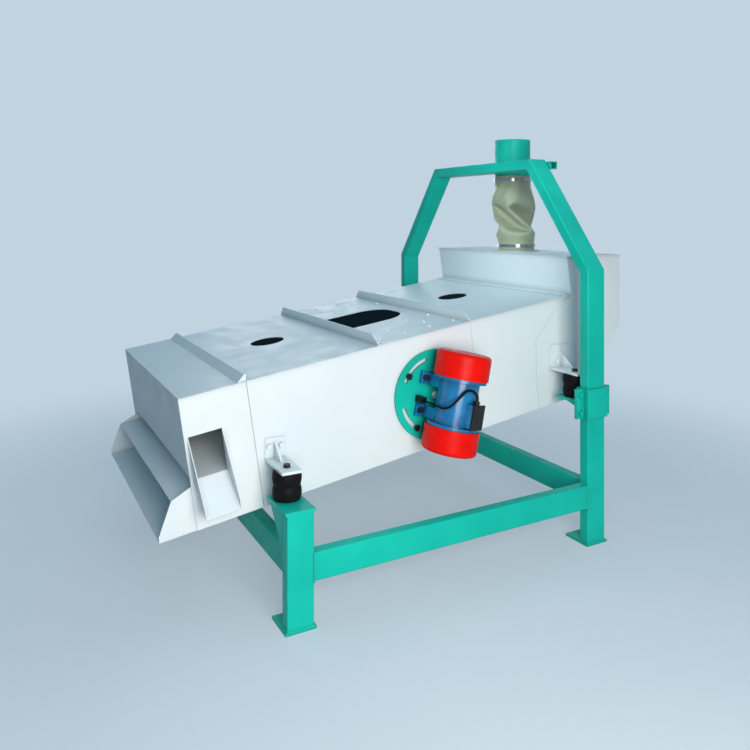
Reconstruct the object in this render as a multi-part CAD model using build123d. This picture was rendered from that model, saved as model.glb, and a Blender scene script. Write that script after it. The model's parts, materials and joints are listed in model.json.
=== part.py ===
from build123d import *
import math
import os

os.makedirs("parts", exist_ok=True)

# Vibrating sieve, in millimetres. The floor is Z = 0 and the origin is the middle of the four legs.
# -X is the discharge end, +X is the feed end, -Y is the right side.

# Frame tube
tube_width = 100.0
tube_depth = 50.0
tube_wall = 4.0
tube_corner = 6.0

# Base frame
leg_pitch = 1384.0
frame_side_gap = 255.0
rail_bottom = 160.0
foot_length = 116.0
foot_depth = 130.0
foot_thickness = 10.0
foot_outer_lip = 4.0
anchor_hole_d = 18.0
anchor_inset = 88.0

# Spring seats on the front legs
seat_top = 415.0
seat_thickness = 12.0
seat_length = 112.0
seat_depth = 185.0
seat_gusset_drop = 134.0
seat_gusset_run = 122.0
gusset_thickness = 10.0

# Gantry over the feed end
gantry_rise = 506.0
beam_above_hopper = 463.0
gantry_inset = 378.0
support_bar_depth = 40.0
support_bar_height = 36.0
support_bar_overhang = 38.0
support_bar_drop = 10.0

# Feed pipe and canvas sleeve
pipe_standoff = 1.0
pipe_d = 190.0
pipe_wall = 4.0
pipe_above_beam = 137.0
pipe_below_beam = 98.0
saddle_width = 90.0
saddle_depth = 18.0
sleeve_lean = 27.0
spigot_wall = 3.0
spigot_rise = 52.0
spigot_flange_d = 246.0
spigot_flange_thickness = 4.0
sleeve_gap = 0.2
sleeve_thickness = 2.8
sleeve_lap = 40.0
sleeve_cuff = 42.0
sleeve_upper_bulge_d = 206.0
sleeve_lower_bulge_d = 224.0
sleeve_bulge_share = 0.2
clamp_gap = 0.2
clamp_thickness = 2.0
clamp_height = 16.0
clamp_inset = 12.0
clamp_screw_length = 34.0
clamp_screw_depth = 9.0

# Rubber springs
spring_d = 106.0
spring_end_d = 98.0
spring_waist_d = 97.0
spring_height = 100.0
spring_inset = 130.0

# Adjustable rear spring supports
shelf_above_seat = 201.0
shelf_thickness = 12.0
shelf_beyond_spring = 60.0
shelf_gusset_drop = 16.0
shelf_gusset_run = 70.0
collar_below_shelf = 67.0
collar_height = 127.0
collar_wall = 8.0
collar_slip = 0.4
collar_ear = 38.0
collar_bolt_d = 12.0
collar_bolt_head = 22.0
collar_bolt_head_height = 8.0
collar_bolt_inset = 24.0

# Sieve box
box_tilt = 8.4
box_x = 14.0
box_above_spring = 161.4
box_width = 1070.0
box_rise = 262.0
box_drop = 218.0
side_sheet = 4.0
cover_sheet = 3.0
cover_overhang = 6.0
hood_past_leg = 95.0
hood_joint_gap = 2.0
hood_length = 250.0
middle_rib_x = -228.0
rear_rib_x = 228.0
seam_width = 3.0
seam_depth = 1.5
rib_height = 42.0
hood_rib_height = 24.0
hood_rib_before = 33.0
hood_rib_after = 3.0
hood_rib_inset = 3.0
rib_foot = 34.0
rib_sheet = 4.0
rib_chamfer = 46.0
sight_hole_d = 150.0
rear_sight_past_rib = 284.0
pane_thickness = 4.0
pane_lap = 14.0
window_width = 304.0
window_near_end = -186.0
window_far_end = 156.0
window_feed_radius = 118.0
window_plain_radius = 24.0
bolt_head_d = 17.0
bolt_head_top_d = 10.0
bolt_head_height = 6.0
outer_row_inset = 78.0
outer_row_x = 8.0
outer_row_pitch = 125.0
inner_row_past_window = 98.0
inner_row_x = 19.0
inner_row_pitch = 120.0
between_row_x = 15.0
between_row_pitch = 184.0

# Feed hopper at the high end of the box
hopper_past_leg = 129.0
hopper_foot = 47.0
hopper_front_height = 179.5
hopper_past_spigot = 200.0
hopper_rear_rise = 217.6
hopper_bottom_step = 6.0
hopper_sheet = 4.0
hopper_dip = 24.0
hopper_lid_lip = 8.0
cheek_sheet = 3.0
cheek_low_back = 265.0
cheek_knee_back = 240.0
cheek_knee_drop = 162.0
cheek_mid_back = 261.0
cheek_mid_z = -60.0
cheek_tip_back = 72.0
cheek_tip_drop = 26.0
spreader_reach = 279.0
spreader_drop = 30.0
spreader_back = 29.0
spreader_above_screen = 50.0

# Discharge end
end_wall_bottom = -22.0
joint_lap = 20.0
tongue_inner_z = -66.0
tongue_reach = 74.0
tongue_edge_z = -86.0
pan_reach = 133.0
pan_edge_rise = 16.0
outlet_cheek_lap = 60.0
outlet_cheek_top = -58.0
trough_high = 50.0
trough_low = -35.0
trough_side_gap = 5.0
trough_sheet = 3.0
dam_back = 13.0
dam_top = 56.0
opening_near_inset = 15.0
opening_length = 122.0
opening_top = 118.0
spout_reach = 107.0
spout_drop = 107.0
spout_lip = 36.0
spout_sheet = 3.0

# Screens
screen_start_gap = 21.0
screen_end_gap = 21.0
screen_side_gap = 12.0
screen_frame_height = 38.0
screen_frame_bar = 32.0
screen_plate = 2.0
screen_cross_bars = 4
screen_hole_pitch = 66.0
upper_hole = 40.0
lower_hole = 24.0
upper_screen_z = 70.0
lower_screen_z = -108.0
runner_width = 30.0
runner_height = 10.0

# Brackets between the box and the springs
bracket_plate = 10.0
bracket_length = 76.0
bracket_web_rise = 62.0
bracket_web_run = 80.0
bracket_beyond_spring = 52.0
bracket_upright = 4.0
front_bracket_rise = 74.0
rear_bracket_rise = 102.0
rear_bracket_tail = 139.0
rear_bracket_flat = 76.0
rear_bracket_tail_rise = 28.0
spring_bolt_d = 16.0
spring_bolt_head = 27.0
spring_bolt_head_height = 11.0
plate_bolt_head = 20.0
plate_bolt_head_height = 9.0
front_bolt_side = 24.0
front_bolt_rise = 44.0
rear_bolt_low = 28.0
rear_bolt_high = 84.0
rear_bolt_side = 31.0

# Vibration motors
motor_lean = 12.0
disc_d = 380.0
disc_thickness = 10.0
disc_gap = 0.3
pivot_d = 20.0
pivot_clearance = 0.05
pivot_head_d = 30.0
pivot_head_height = 8.0
slot_circle_r = 155.0
slot_width = 17.0
slot_before = 37.5
slot_after = 8.5
upper_outer_bolt_angle = 145.0
lower_outer_bolt_angle = 235.0
lower_inner_bolt_angle = 293.0
upper_inner_bolt_angle = 70.0
disc_bolt_d = 15.0
disc_bolt_head = 28.0
disc_bolt_head_height = 11.0
motor_shift = 24.0
axis_height = 126.0
casing_d = 165.0
casing_length = 200.0
flange_d = 214.0
flange_thickness = 12.0
end_cover_d = 225.0
end_cover_length = 100.0
end_cover_wall = 3.0
end_cover_round = 16.0
foot_pad_inner = 64.0
foot_pad_outer = 112.0
foot_pad_low = 42.0
foot_pad_high = 92.0
foot_pad_thickness = 14.0
foot_web = 14.0
foot_bolt_x = 94.0
foot_bolt_z = 67.0
foot_bolt_d = 16.0
foot_bolt_head = 26.0
foot_bolt_head_height = 10.0
stator_bore_d = 86.0
stator_length = 110.0
casing_wall = 9.0
shaft_d = 32.0
shaft_clearance = 0.05
shaft_length = 366.0
core_d = 80.0
core_length = 100.0
weight_r = 92.0
weight_hub_r = 30.0
weight_thickness = 24.0
weight_offset = 118.0
weight_pitch = 30.0
terminal_turn = -70.0
terminal_reach = 30.0
terminal_width = 72.0
terminal_low = -84.0
terminal_high = 8.0
terminal_seat = 14.0
terminal_lid = 8.0
terminal_lid_lip = 3.0
gland_d = 22.0
gland_height = 16.0
gland_inset = 17.0
cable_d = 9.0
cable_bend = 36.0
cable_straight = 2.0
cable_reach = 22.0
clip_width = 26.0
clip_height = 46.0
clip_x = -104.0
clip_z = -22.0

# Places that follow from the sizes above
half_box = box_width / 2
inner_box = half_box - side_sheet
half_frame = half_box + frame_side_gap
inner_frame = half_frame - tube_depth
leg_x = leg_pitch / 2
rail_top = rail_bottom + tube_width
anchor_y = half_frame - anchor_inset
spring_y = half_frame - spring_inset
shelf_inner_y = spring_y - shelf_beyond_spring
bracket_reach_y = spring_y + bracket_beyond_spring
shelf_top = seat_top + shelf_above_seat
collar_bottom = shelf_top - collar_below_shelf
front_spring_top = seat_top + spring_height
rear_spring_top = shelf_top + spring_height
box_z = front_spring_top + box_above_spring
cover_under = box_rise - cover_sheet
hood_joint_x = -leg_x - hood_past_leg
hood_end_x = hood_joint_x - hood_length
lean_cos = math.cos(math.radians(box_tilt))
lean_sin = math.sin(math.radians(box_tilt))
hopper_front_x = leg_x + hopper_past_leg
hopper_bottom_x = hopper_front_x + hopper_bottom_step
hopper_top = box_z + hopper_front_x * lean_sin + box_rise * lean_cos + hopper_front_height
lid_under = hopper_top - cover_sheet
hopper_rear_low = box_z + hopper_rear_rise
beam_top = hopper_top + beam_above_hopper
bend_height = beam_top - gantry_rise
beam_half_length = half_frame - gantry_inset
support_bar_half = beam_half_length + support_bar_overhang
support_bar_top = beam_top - support_bar_drop
pipe_top = beam_top + pipe_above_beam
pipe_bottom = beam_top - pipe_below_beam
pipe_x = leg_x + tube_width / 2 + support_bar_depth + pipe_d / 2 + pipe_standoff
spigot_x = pipe_x + sleeve_lean
hopper_rear_x = spigot_x + hopper_past_spigot
sleeve_top = pipe_bottom + sleeve_lap
front_sight_x = (hood_joint_x + middle_rib_x) / 2
rear_sight_x = rear_rib_x + rear_sight_past_rib
outer_row_y = half_box - outer_row_inset
inner_row_y = window_width / 2 + inner_row_past_window
between_row_y = (outer_row_y + inner_row_y) / 2
screen_start_x = hood_joint_x + screen_start_gap
screen_end_x = hopper_front_x - screen_end_gap
screen_half_width = inner_box - screen_side_gap
cheek_low_x = hopper_front_x - cheek_low_back
cheek_mid_x = hopper_front_x - cheek_mid_back
cheek_knee_x = hopper_front_x - cheek_knee_back
cheek_tip_x = hopper_front_x - cheek_tip_back
cheek_knee_z = box_rise - cheek_knee_drop
cheek_tip_z = box_rise - cheek_tip_drop
spreader_high_x = hopper_front_x + spreader_reach
spreader_low_x = hopper_front_x - spreader_back
spreader_high_z = box_rise - spreader_drop
spreader_low_z = upper_screen_z + spreader_above_screen
tongue_edge_x = hood_end_x - tongue_reach
pan_edge_x = hood_end_x - pan_reach
dam_x = hood_joint_x - dam_back
opening_near_x = hood_end_x + opening_near_inset
opening_far_x = opening_near_x + opening_length
disc_inner_y = half_box + disc_gap


def block(x0, x1, y0, y1, z0, z1):
    """A block between two corners."""
    size = Box(abs(x1 - x0), abs(y1 - y0), abs(z1 - z0))
    return Pos((x0 + x1) / 2, (y0 + y1) / 2, (z0 + z1) / 2) * size


def side_shape(points, y0, y1):
    """A flat shape drawn in X and Z and made solid from y0 to y1."""
    outline = make_face(Polyline(*[(x, y0, z) for x, z in points], close=True))
    return extrude(outline, amount=y1 - y0, dir=(0, 1, 0))


def end_shape(points, x0, x1):
    """A flat shape drawn in Y and Z and made solid from x0 to x1."""
    outline = make_face(Polyline(*[(x0, y, z) for y, z in points], close=True))
    return extrude(outline, amount=x1 - x0, dir=(1, 0, 0))


def plan_shape(points, z0, z1):
    """A flat shape drawn in X and Y and made solid from z0 to z1."""
    outline = make_face(Polyline(*[(x, y, z0) for x, y in points], close=True))
    return extrude(outline, amount=z1 - z0, dir=(0, 0, 1))


def rod(x, y, z0, z1, diameter):
    """An upright round bar."""
    return Pos(x, y, (z0 + z1) / 2) * Cylinder(diameter / 2, abs(z1 - z0))


def cross_rod(x, z, y0, y1, diameter):
    """A round bar along Y."""
    return Pos(x, (y0 + y1) / 2, z) * Rot(90, 0, 0) * Cylinder(diameter / 2, abs(y1 - y0))


def hex_up(x, y, z0, height, across_corners):
    """A hexagon head standing on z0."""
    return Pos(x, y, z0) * extrude(RegularPolygon(across_corners / 2, 6), amount=height)


def hex_out(x, z, y0, height, across_corners):
    """A hexagon head that stands out from y0 toward -Y."""
    return Pos(x, y0, z) * (Plane.XZ * extrude(RegularPolygon(across_corners / 2, 6), amount=height))


def both(shape):
    """The shape and its mirror image on the other side of the machine."""
    return [shape, mirror(shape, about=Plane.XZ)]


def on_box(shape):
    """Places a shape drawn level, about the middle of the box, at the slope of the box."""
    return Pos(box_x, 0, box_z) * Rot(0, -box_tilt, 0) * shape


def level(x, z):
    """A point of the sloped box, as X and Z of the machine."""
    return (box_x + x * lean_cos - z * lean_sin, box_z + x * lean_sin + z * lean_cos)


def sloped(x, z):
    """A point of the machine, as X and Z of the sloped box."""
    run = x - box_x
    rise = z - box_z
    return (run * lean_cos + rise * lean_sin, rise * lean_cos - run * lean_sin)


def meet(p, d, q, e):
    """The point where two lines cross, each given by a point and a direction."""
    turn = d[0] * e[1] - d[1] * e[0]
    t = ((q[0] - p[0]) * e[1] - (q[1] - p[1]) * e[0]) / turn
    return (p[0] + t * d[0], p[1] + t * d[1])


def rounded_long(shape):
    """Rounds the long edges of a tube."""
    edges = [edge for edge in shape.edges() if edge.length > 2.2 * tube_width]
    return fillet(edges, tube_corner)


def front_leg():
    z1 = seat_top - seat_thickness
    x0 = -leg_x - tube_width / 2
    x1 = -leg_x + tube_width / 2
    outer = rounded_long(block(x0, x1, -half_frame, -inner_frame, foot_thickness, z1))
    hollow = block(x0 + tube_wall, x1 - tube_wall, -half_frame + tube_wall, -inner_frame - tube_wall,
                   foot_thickness, z1)
    return outer - hollow


def side_rail():
    x1 = leg_x - tube_width / 2
    outer = rounded_long(block(-x1, x1, -half_frame, -inner_frame, rail_bottom, rail_top))
    hollow = block(-x1, x1, -half_frame + tube_wall, -inner_frame - tube_wall,
                   rail_bottom + tube_wall, rail_top - tube_wall)
    return outer - hollow


def cross_rail(x):
    x0 = x - tube_depth / 2
    x1 = x + tube_depth / 2
    outer = rounded_long(block(x0, x1, -inner_frame, inner_frame, rail_bottom, rail_top))
    hollow = block(x0 + tube_wall, x1 - tube_wall, -inner_frame, inner_frame,
                   rail_bottom + tube_wall, rail_top - tube_wall)
    return outer - hollow


def foot_plate(x):
    y0 = -half_frame - foot_outer_lip
    plate = block(x - foot_length / 2, x + foot_length / 2, y0, y0 + foot_depth, 0, foot_thickness)
    return plate - rod(x, -anchor_y, 0, foot_thickness, anchor_hole_d)


def spring_seat():
    z0 = seat_top - seat_thickness
    plate = block(-leg_x - seat_length / 2, -leg_x + seat_length / 2,
                  -half_frame, -half_frame + seat_depth, z0, seat_top)
    corner = [(-inner_frame, z0), (-inner_frame, z0 - seat_gusset_drop),
              (-inner_frame + seat_gusset_run, z0)]
    front_x = -leg_x - tube_width / 2
    rear_x = -leg_x + tube_width / 2
    front = end_shape(corner, front_x, front_x + gusset_thickness)
    rear = end_shape(corner, rear_x - gusset_thickness, rear_x)
    return plate + front + rear


def arch_point(offset):
    """The corners of the gantry outline, moved inward by an offset."""
    rise = beam_top - bend_height
    run = half_frame - beam_half_length
    length = math.hypot(rise, run)
    along = (-run / length, rise / length)
    inward = (-along[1] * offset, along[0] * offset)
    start = (half_frame + inward[0], bend_height + inward[1])
    bend = meet((half_frame - offset, 0), (0, 1), start, along)
    corner = meet(start, along, (0, beam_top - offset), (1, 0))
    return bend, corner


def arch_member(pick):
    """A mitred tube of the gantry between two offsets of its outline."""
    x0 = leg_x - tube_width / 2
    x1 = leg_x + tube_width / 2
    outer = rounded_long(end_shape(pick(0, tube_depth), x0, x1))
    return outer - end_shape(pick(tube_wall, tube_depth - tube_wall), x0 + tube_wall, x1 - tube_wall)


def post_outline(near, far):
    return [(half_frame - near, foot_thickness), arch_point(near)[0], arch_point(far)[0],
            (half_frame - far, foot_thickness)]


def strut_outline(near, far):
    return [arch_point(near)[0], arch_point(near)[1], arch_point(far)[1], arch_point(far)[0]]


def beam_outline(near, far):
    upper = arch_point(near)[1]
    lower = arch_point(far)[1]
    return [upper, (-upper[0], upper[1]), (-lower[0], lower[1]), lower]


def support_bar():
    x0 = leg_x + tube_width / 2
    z0 = support_bar_top - support_bar_height
    outer = block(x0, x0 + support_bar_depth, -support_bar_half, support_bar_half, z0, support_bar_top)
    hollow = block(x0 + tube_wall, x0 + support_bar_depth - tube_wall, -support_bar_half, support_bar_half,
                   z0 + tube_wall, support_bar_top - tube_wall)
    return outer - hollow


def feed_pipe():
    z1 = support_bar_top
    x0 = leg_x + tube_width / 2 + support_bar_depth
    saddle = block(x0, x0 + saddle_depth, -saddle_width / 2, saddle_width / 2, z1 - support_bar_height, z1)
    pipe = rod(pipe_x, 0, pipe_bottom, pipe_top, pipe_d) + saddle
    return pipe - rod(pipe_x, 0, pipe_bottom, pipe_top, pipe_d - 2 * pipe_wall)


def sleeve_loft(inset):
    """The canvas sleeve's outline, from the spigot up to the feed pipe."""
    cuff_r = pipe_d / 2 + sleeve_gap + sleeve_thickness - inset
    low = hopper_top + spigot_flange_thickness + 1
    low_cuff = hopper_top + spigot_rise
    high_cuff = sleeve_top - sleeve_cuff
    bulge_rise = (high_cuff - low_cuff) * sleeve_bulge_share
    lower_r = sleeve_lower_bulge_d / 2 - inset
    upper_r = sleeve_upper_bulge_d / 2 - inset
    rings = [Pos(spigot_x, 0, low) * Circle(cuff_r),
             Pos(spigot_x, 0, low_cuff) * Circle(cuff_r),
             Pos(spigot_x, 0, low_cuff + bulge_rise) * Circle(lower_r),
             Pos(pipe_x, 0, high_cuff - bulge_rise) * Circle(upper_r),
             Pos(pipe_x, 0, high_cuff) * Circle(cuff_r),
             Pos(pipe_x, 0, sleeve_top) * Circle(cuff_r)]
    shape = loft(rings[:2], ruled=True)
    for start in range(1, len(rings) - 1):
        shape = shape + loft(rings[start:start + 2], ruled=True)
    return shape


def inlet_sleeve():
    return sleeve_loft(0) - sleeve_loft(sleeve_thickness)


def hose_clamp(x, z0):
    """A bright band with its tightening screw."""
    inner_r = pipe_d / 2 + sleeve_gap + sleeve_thickness + clamp_gap
    outer_r = inner_r + clamp_thickness
    z1 = z0 + clamp_height
    screw = block(x - clamp_screw_length / 2, x + clamp_screw_length / 2,
                  -outer_r - clamp_screw_depth, -inner_r, z0 + 1, z1 - 1)
    band = rod(x, 0, z0, z1, 2 * outer_r) + screw
    return band - rod(x, 0, z0, z1, 2 * inner_r)


def rubber_spring(x, z0):
    """A solid rubber spring with two bulges and a groove between them."""
    h = spring_height
    outline = Polyline((0, 0, 0), (spring_end_d / 2, 0, 0))
    waist = (spring_waist_d / 2, 0, h / 2)
    side = ThreePointArc((spring_end_d / 2, 0, 0), (spring_d / 2, 0, h / 4), waist)
    side = side + ThreePointArc(waist, (spring_d / 2, 0, h * 3 / 4), (spring_end_d / 2, 0, h))
    top = Polyline((spring_end_d / 2, 0, h), (0, 0, h), (0, 0, 0))
    body = revolve(make_face(outline + side + top), Axis.Z)
    return Pos(x, -spring_y, z0) * body


def collar_bolt_places():
    x_far = tube_width / 2 + collar_slip + collar_wall + collar_ear / 2
    heights = (collar_bottom + collar_bolt_inset, collar_bottom + collar_height - collar_bolt_inset)
    return [(leg_x + side * x_far, z) for side in (-1, 1) for z in heights]


def collar_half(y_wall, y_split, y_ear):
    """One half of the clamp around a rear post."""
    x_in = tube_width / 2 + collar_slip
    x_out = x_in + collar_wall
    x_tip = x_out + collar_ear
    z1 = collar_bottom + collar_height
    shell = block(leg_x - x_out, leg_x + x_out, y_wall, y_split, collar_bottom, z1)
    ears = block(leg_x - x_tip, leg_x + x_tip, y_ear, y_split, collar_bottom, z1)
    post = block(leg_x - x_in, leg_x + x_in, -half_frame - collar_slip, -inner_frame + collar_slip,
                 collar_bottom, z1)
    half = shell + ears - post
    for x, z in collar_bolt_places():
        half = half - cross_rod(x, z, y_split - tube_width, y_split + tube_width, collar_bolt_d + 1)
    return half


def outer_collar():
    split = -(half_frame + inner_frame) / 2
    return collar_half(-half_frame - collar_slip - collar_wall, split, split - collar_wall)


def inner_collar():
    split = -(half_frame + inner_frame) / 2
    wall = -inner_frame + collar_slip + collar_wall
    half = collar_half(wall, split, split + collar_wall)
    z0 = shelf_top - shelf_thickness
    shelf = block(leg_x - seat_length / 2, leg_x + seat_length / 2, wall, -shelf_inner_y, z0, shelf_top)
    corner = [(wall, z0), (wall, z0 - shelf_gusset_drop), (wall + shelf_gusset_run, z0)]
    front_x = leg_x - seat_length / 2
    rear_x = leg_x + seat_length / 2
    front = end_shape(corner, front_x, front_x + gusset_thickness)
    rear = end_shape(corner, rear_x - gusset_thickness, rear_x)
    return half + shelf + front + rear


def collar_bolts():
    split = -(half_frame + inner_frame) / 2
    outer = split - collar_wall
    inner = split + collar_wall
    bolts = []
    for x, z in collar_bolt_places():
        shank = cross_rod(x, z, outer, inner, collar_bolt_d)
        head = hex_out(x, z, outer, collar_bolt_head_height, collar_bolt_head)
        nut = hex_out(x, z, inner + collar_bolt_head_height, collar_bolt_head_height, collar_bolt_head)
        bolts.append(shank + head + nut)
    return bolts


def hopper_front_point(x):
    """The top of the hopper's front wall at a place along the box."""
    z = (lid_under - box_z - x * lean_sin) / lean_cos
    return level(x, z)


def side_outline():
    return [level(hood_joint_x + hood_joint_gap / 2, cover_under), level(hopper_front_x, cover_under),
            hopper_front_point(hopper_front_x), (hopper_rear_x, lid_under),
            (hopper_rear_x, hopper_rear_low),
            level(hopper_bottom_x, -box_drop), level(hood_joint_x + hood_joint_gap / 2, -box_drop)]


def side_plate():
    plate = side_shape(side_outline(), -half_box, -inner_box)
    seam = on_box(block(rear_rib_x, rear_rib_x + seam_width, -half_box, -half_box + seam_depth,
                        -box_drop, box_rise))
    stud_end = disc_inner_y + disc_thickness + disc_gap
    stud = cross_rod(box_x, box_z, -stud_end, -half_box, pivot_d)
    head = cross_rod(box_x, box_z, -stud_end - pivot_head_height, -stud_end, pivot_head_d)
    return plate - seam + stud + head


def hopper_cheek():
    outline = [level(cheek_low_x, -box_drop), level(cheek_mid_x, cheek_mid_z), level(cheek_knee_x,
                                                                                     cheek_knee_z),
               level(cheek_tip_x, cheek_tip_z), level(hopper_front_x, cover_under - 1),
               hopper_front_point(hopper_front_x), (hopper_rear_x, lid_under),
               (hopper_rear_x, hopper_rear_low),
               level(hopper_bottom_x, -box_drop)]
    return side_shape(outline, -half_box - cheek_sheet, -half_box)


def bottom_pan():
    rear = sloped(*meet(level(hopper_bottom_x, -box_drop), rear_slope(), level(0, -box_drop + side_sheet),
                        (lean_cos, lean_sin)))
    return on_box(block(pan_edge_x, rear[0], -inner_box, inner_box, -box_drop, -box_drop + side_sheet))


def rear_slope():
    low = level(hopper_bottom_x, -box_drop)
    run = hopper_rear_x - low[0]
    rise = hopper_rear_low - low[1]
    length = math.hypot(run, rise)
    return (run / length, rise / length)


def hopper_rear_wall():
    along = rear_slope()
    low = level(hopper_bottom_x, -box_drop)
    inside = (low[0] - along[1] * hopper_sheet, low[1] + along[0] * hopper_sheet)
    pan_top = level(0, -box_drop + side_sheet)
    pan_way = (lean_cos, lean_sin)
    inner_x = hopper_rear_x - hopper_sheet
    outline = [meet(low, along, pan_top, pan_way), (hopper_rear_x, hopper_rear_low),
               (hopper_rear_x, lid_under),
               (inner_x, lid_under), meet(inside, along, (inner_x, 0), (0, 1)),
               meet(inside, along, pan_top, pan_way)]
    return side_shape(outline, -inner_box, inner_box)


def hopper_front_wall():
    inner_x = hopper_front_x + hopper_sheet
    outline = [level(hopper_front_x, cover_under - hopper_dip), hopper_front_point(hopper_front_x),
               hopper_front_point(inner_x), level(inner_x, cover_under - hopper_dip)]
    foot = block(hopper_front_x - hopper_foot, hopper_front_x, -inner_box, inner_box,
                 box_rise, box_rise + hopper_sheet)
    return side_shape(outline, -inner_box, inner_box) + on_box(foot)


def hopper_lid():
    front = hopper_front_point(hopper_front_x)[0] - hopper_lid_lip
    edge_y = half_box + cheek_sheet + hopper_lid_lip
    lid = block(front, hopper_rear_x + hopper_lid_lip, -edge_y, edge_y, lid_under, hopper_top)
    return lid - rod(spigot_x, 0, lid_under, hopper_top, pipe_d - 2 * spigot_wall)


def inlet_spigot():
    tube = rod(spigot_x, 0, hopper_top, hopper_top + spigot_rise, pipe_d)
    flange = rod(spigot_x, 0, hopper_top, hopper_top + spigot_flange_thickness, spigot_flange_d)
    return tube + flange - rod(spigot_x, 0, hopper_top, hopper_top + spigot_rise, pipe_d - 2 * spigot_wall)


def feed_spreader():
    run = spreader_high_x - spreader_low_x
    rise = spreader_high_z - spreader_low_z
    length = math.hypot(run, rise)
    up = (-rise / length * hopper_sheet, run / length * hopper_sheet)
    outline = [(spreader_low_x, spreader_low_z), (spreader_high_x, spreader_high_z),
               (spreader_high_x + up[0], spreader_high_z + up[1]),
               (spreader_low_x + up[0], spreader_low_z + up[1])]
    return on_box(side_shape(outline, -inner_box, inner_box))


def cover(x0, x1):
    edge_y = half_box + cover_overhang
    return block(x0, x1, -edge_y, edge_y, cover_under, box_rise)


def sight_cover(x0, x1, hole_x):
    return on_box(cover(x0, x1) - rod(hole_x, 0, cover_under, box_rise, sight_hole_d))


def window_shape(grow, z0, z1):
    """The window's outline: square at the discharge end and round at the feed end."""
    half = window_width / 2 + grow
    x0 = window_near_end - grow
    x1 = window_far_end + grow
    shape = block(x0, x1, -half, half, z0, z1)
    upright = shape.edges().filter_by(Axis.Z)
    feed_end = [edge for edge in upright if edge.center().X > 0]
    shape = fillet(feed_end, window_feed_radius + grow)
    plain_end = [edge for edge in shape.edges().filter_by(Axis.Z) if edge.center().X < window_near_end + 1]
    return fillet(plain_end, window_plain_radius + grow)


def middle_cover():
    return on_box(cover(middle_rib_x, rear_rib_x) - window_shape(0, cover_under, box_rise))


def sight_panes():
    z0 = cover_under - pane_thickness
    window = window_shape(pane_lap, z0, cover_under)
    panes = [rod(x, 0, z0, cover_under, sight_hole_d + 2 * pane_lap) for x in (front_sight_x, rear_sight_x)]
    return [on_box(shape) for shape in [window] + panes]


def cover_rib(x, height):
    """A folded rib across the box, with its ends cut at a slant."""
    edge_y = half_box + cover_overhang
    upright = end_shape([(-edge_y, box_rise), (edge_y, box_rise), (edge_y - rib_chamfer, box_rise + height),
                         (rib_chamfer - edge_y, box_rise + height)], x - rib_sheet / 2, x + rib_sheet / 2)
    foot_y = half_box - rib_foot
    foot = block(x, x + rib_foot, -foot_y, foot_y, box_rise, box_rise + rib_sheet)
    return on_box(upright + foot)


def hood_rib():
    """The folded strip along the joint of the hood, which slopes up toward the joint."""
    x0 = hood_joint_x - hood_rib_before
    x1 = hood_joint_x + hood_rib_after
    x_fold = x1 - 1.5 * rib_sheet
    edge_y = half_box - hood_rib_inset
    top = box_rise + hood_rib_height
    run = x_fold - x0
    slant = rib_sheet * math.hypot(run, hood_rib_height) / hood_rib_height
    inner_x = x1 - rib_sheet
    inner_top = box_rise + (inner_x - x0 - slant) * hood_rib_height / run
    outer = side_shape([(x0, box_rise), (x_fold, top), (x1, top), (x1, box_rise)], -edge_y, edge_y)
    inner = side_shape([(x0 + slant, box_rise), (inner_x, inner_top), (inner_x, box_rise)],
                       rib_sheet - edge_y, edge_y - rib_sheet)
    return on_box(outer - inner)


def bolt_row(x, pitch, count, y):
    start = x - pitch * (count - 1) / 2
    return [(start + pitch * step, y * side) for step in range(count) for side in (-1, 1)]


def cover_bolts():
    places = bolt_row(outer_row_x, outer_row_pitch, 4, outer_row_y)
    places = places + bolt_row(inner_row_x, inner_row_pitch, 4, inner_row_y)
    places = places + bolt_row(between_row_x, between_row_pitch, 2, between_row_y)
    head = Cone(bolt_head_d / 2, bolt_head_top_d / 2, bolt_head_height)
    return [on_box(Pos(x, y, box_rise + bolt_head_height / 2) * head) for x, y in places]


def hood_side():
    x1 = hood_joint_x - hood_joint_gap / 2
    plate = block(hood_end_x, x1, -half_box, -inner_box, -box_drop, cover_under)
    lap = block(x1 - joint_lap, x1 + joint_lap, -inner_box, -inner_box + side_sheet,
                -box_drop + 2 * joint_lap, cover_under)
    return plate + lap


def hood_sides():
    opening = block(opening_near_x, opening_far_x, -half_box, -inner_box, trough_low, opening_top)
    return [on_box(hood_side() - opening), mirror(on_box(hood_side()), about=Plane.XZ)]


def hood_cover():
    x1 = hood_joint_x - hood_joint_gap / 2
    end_wall = block(hood_end_x, hood_end_x + side_sheet, -inner_box, inner_box, end_wall_bottom,
                     cover_under)
    return [on_box(cover(hood_end_x, x1)), on_box(end_wall)]


def grain_outlet():
    y1 = inner_box - side_sheet
    x0 = screen_start_x - joint_lap
    sheet = side_sheet
    tongue = side_shape([(x0, tongue_inner_z), (x0, tongue_inner_z - sheet),
                         (tongue_edge_x, tongue_edge_z - sheet),
                         (tongue_edge_x, tongue_edge_z)], -y1, y1)
    pan_top = -box_drop + side_sheet
    x_lap = hood_end_x + outlet_cheek_lap
    cheek = side_shape([(x_lap, pan_top), (pan_edge_x, pan_top), (pan_edge_x, pan_top + pan_edge_rise),
                        (tongue_edge_x, tongue_edge_z), (hood_end_x, outlet_cheek_top),
                        (x_lap, outlet_cheek_top)],
                       -inner_box, -y1)
    return [on_box(tongue)] + both(on_box(cheek))


def oversize_trough():
    y1 = inner_box - trough_side_gap
    floor = end_shape([(-y1, trough_low), (y1, trough_high), (y1, trough_high - trough_sheet),
                       (-y1, trough_low - trough_sheet)], hood_end_x + side_sheet, dam_x)
    dam = block(dam_x, dam_x + trough_sheet, -y1, y1, trough_low - trough_sheet, dam_top)
    return on_box(floor + dam)


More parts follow.
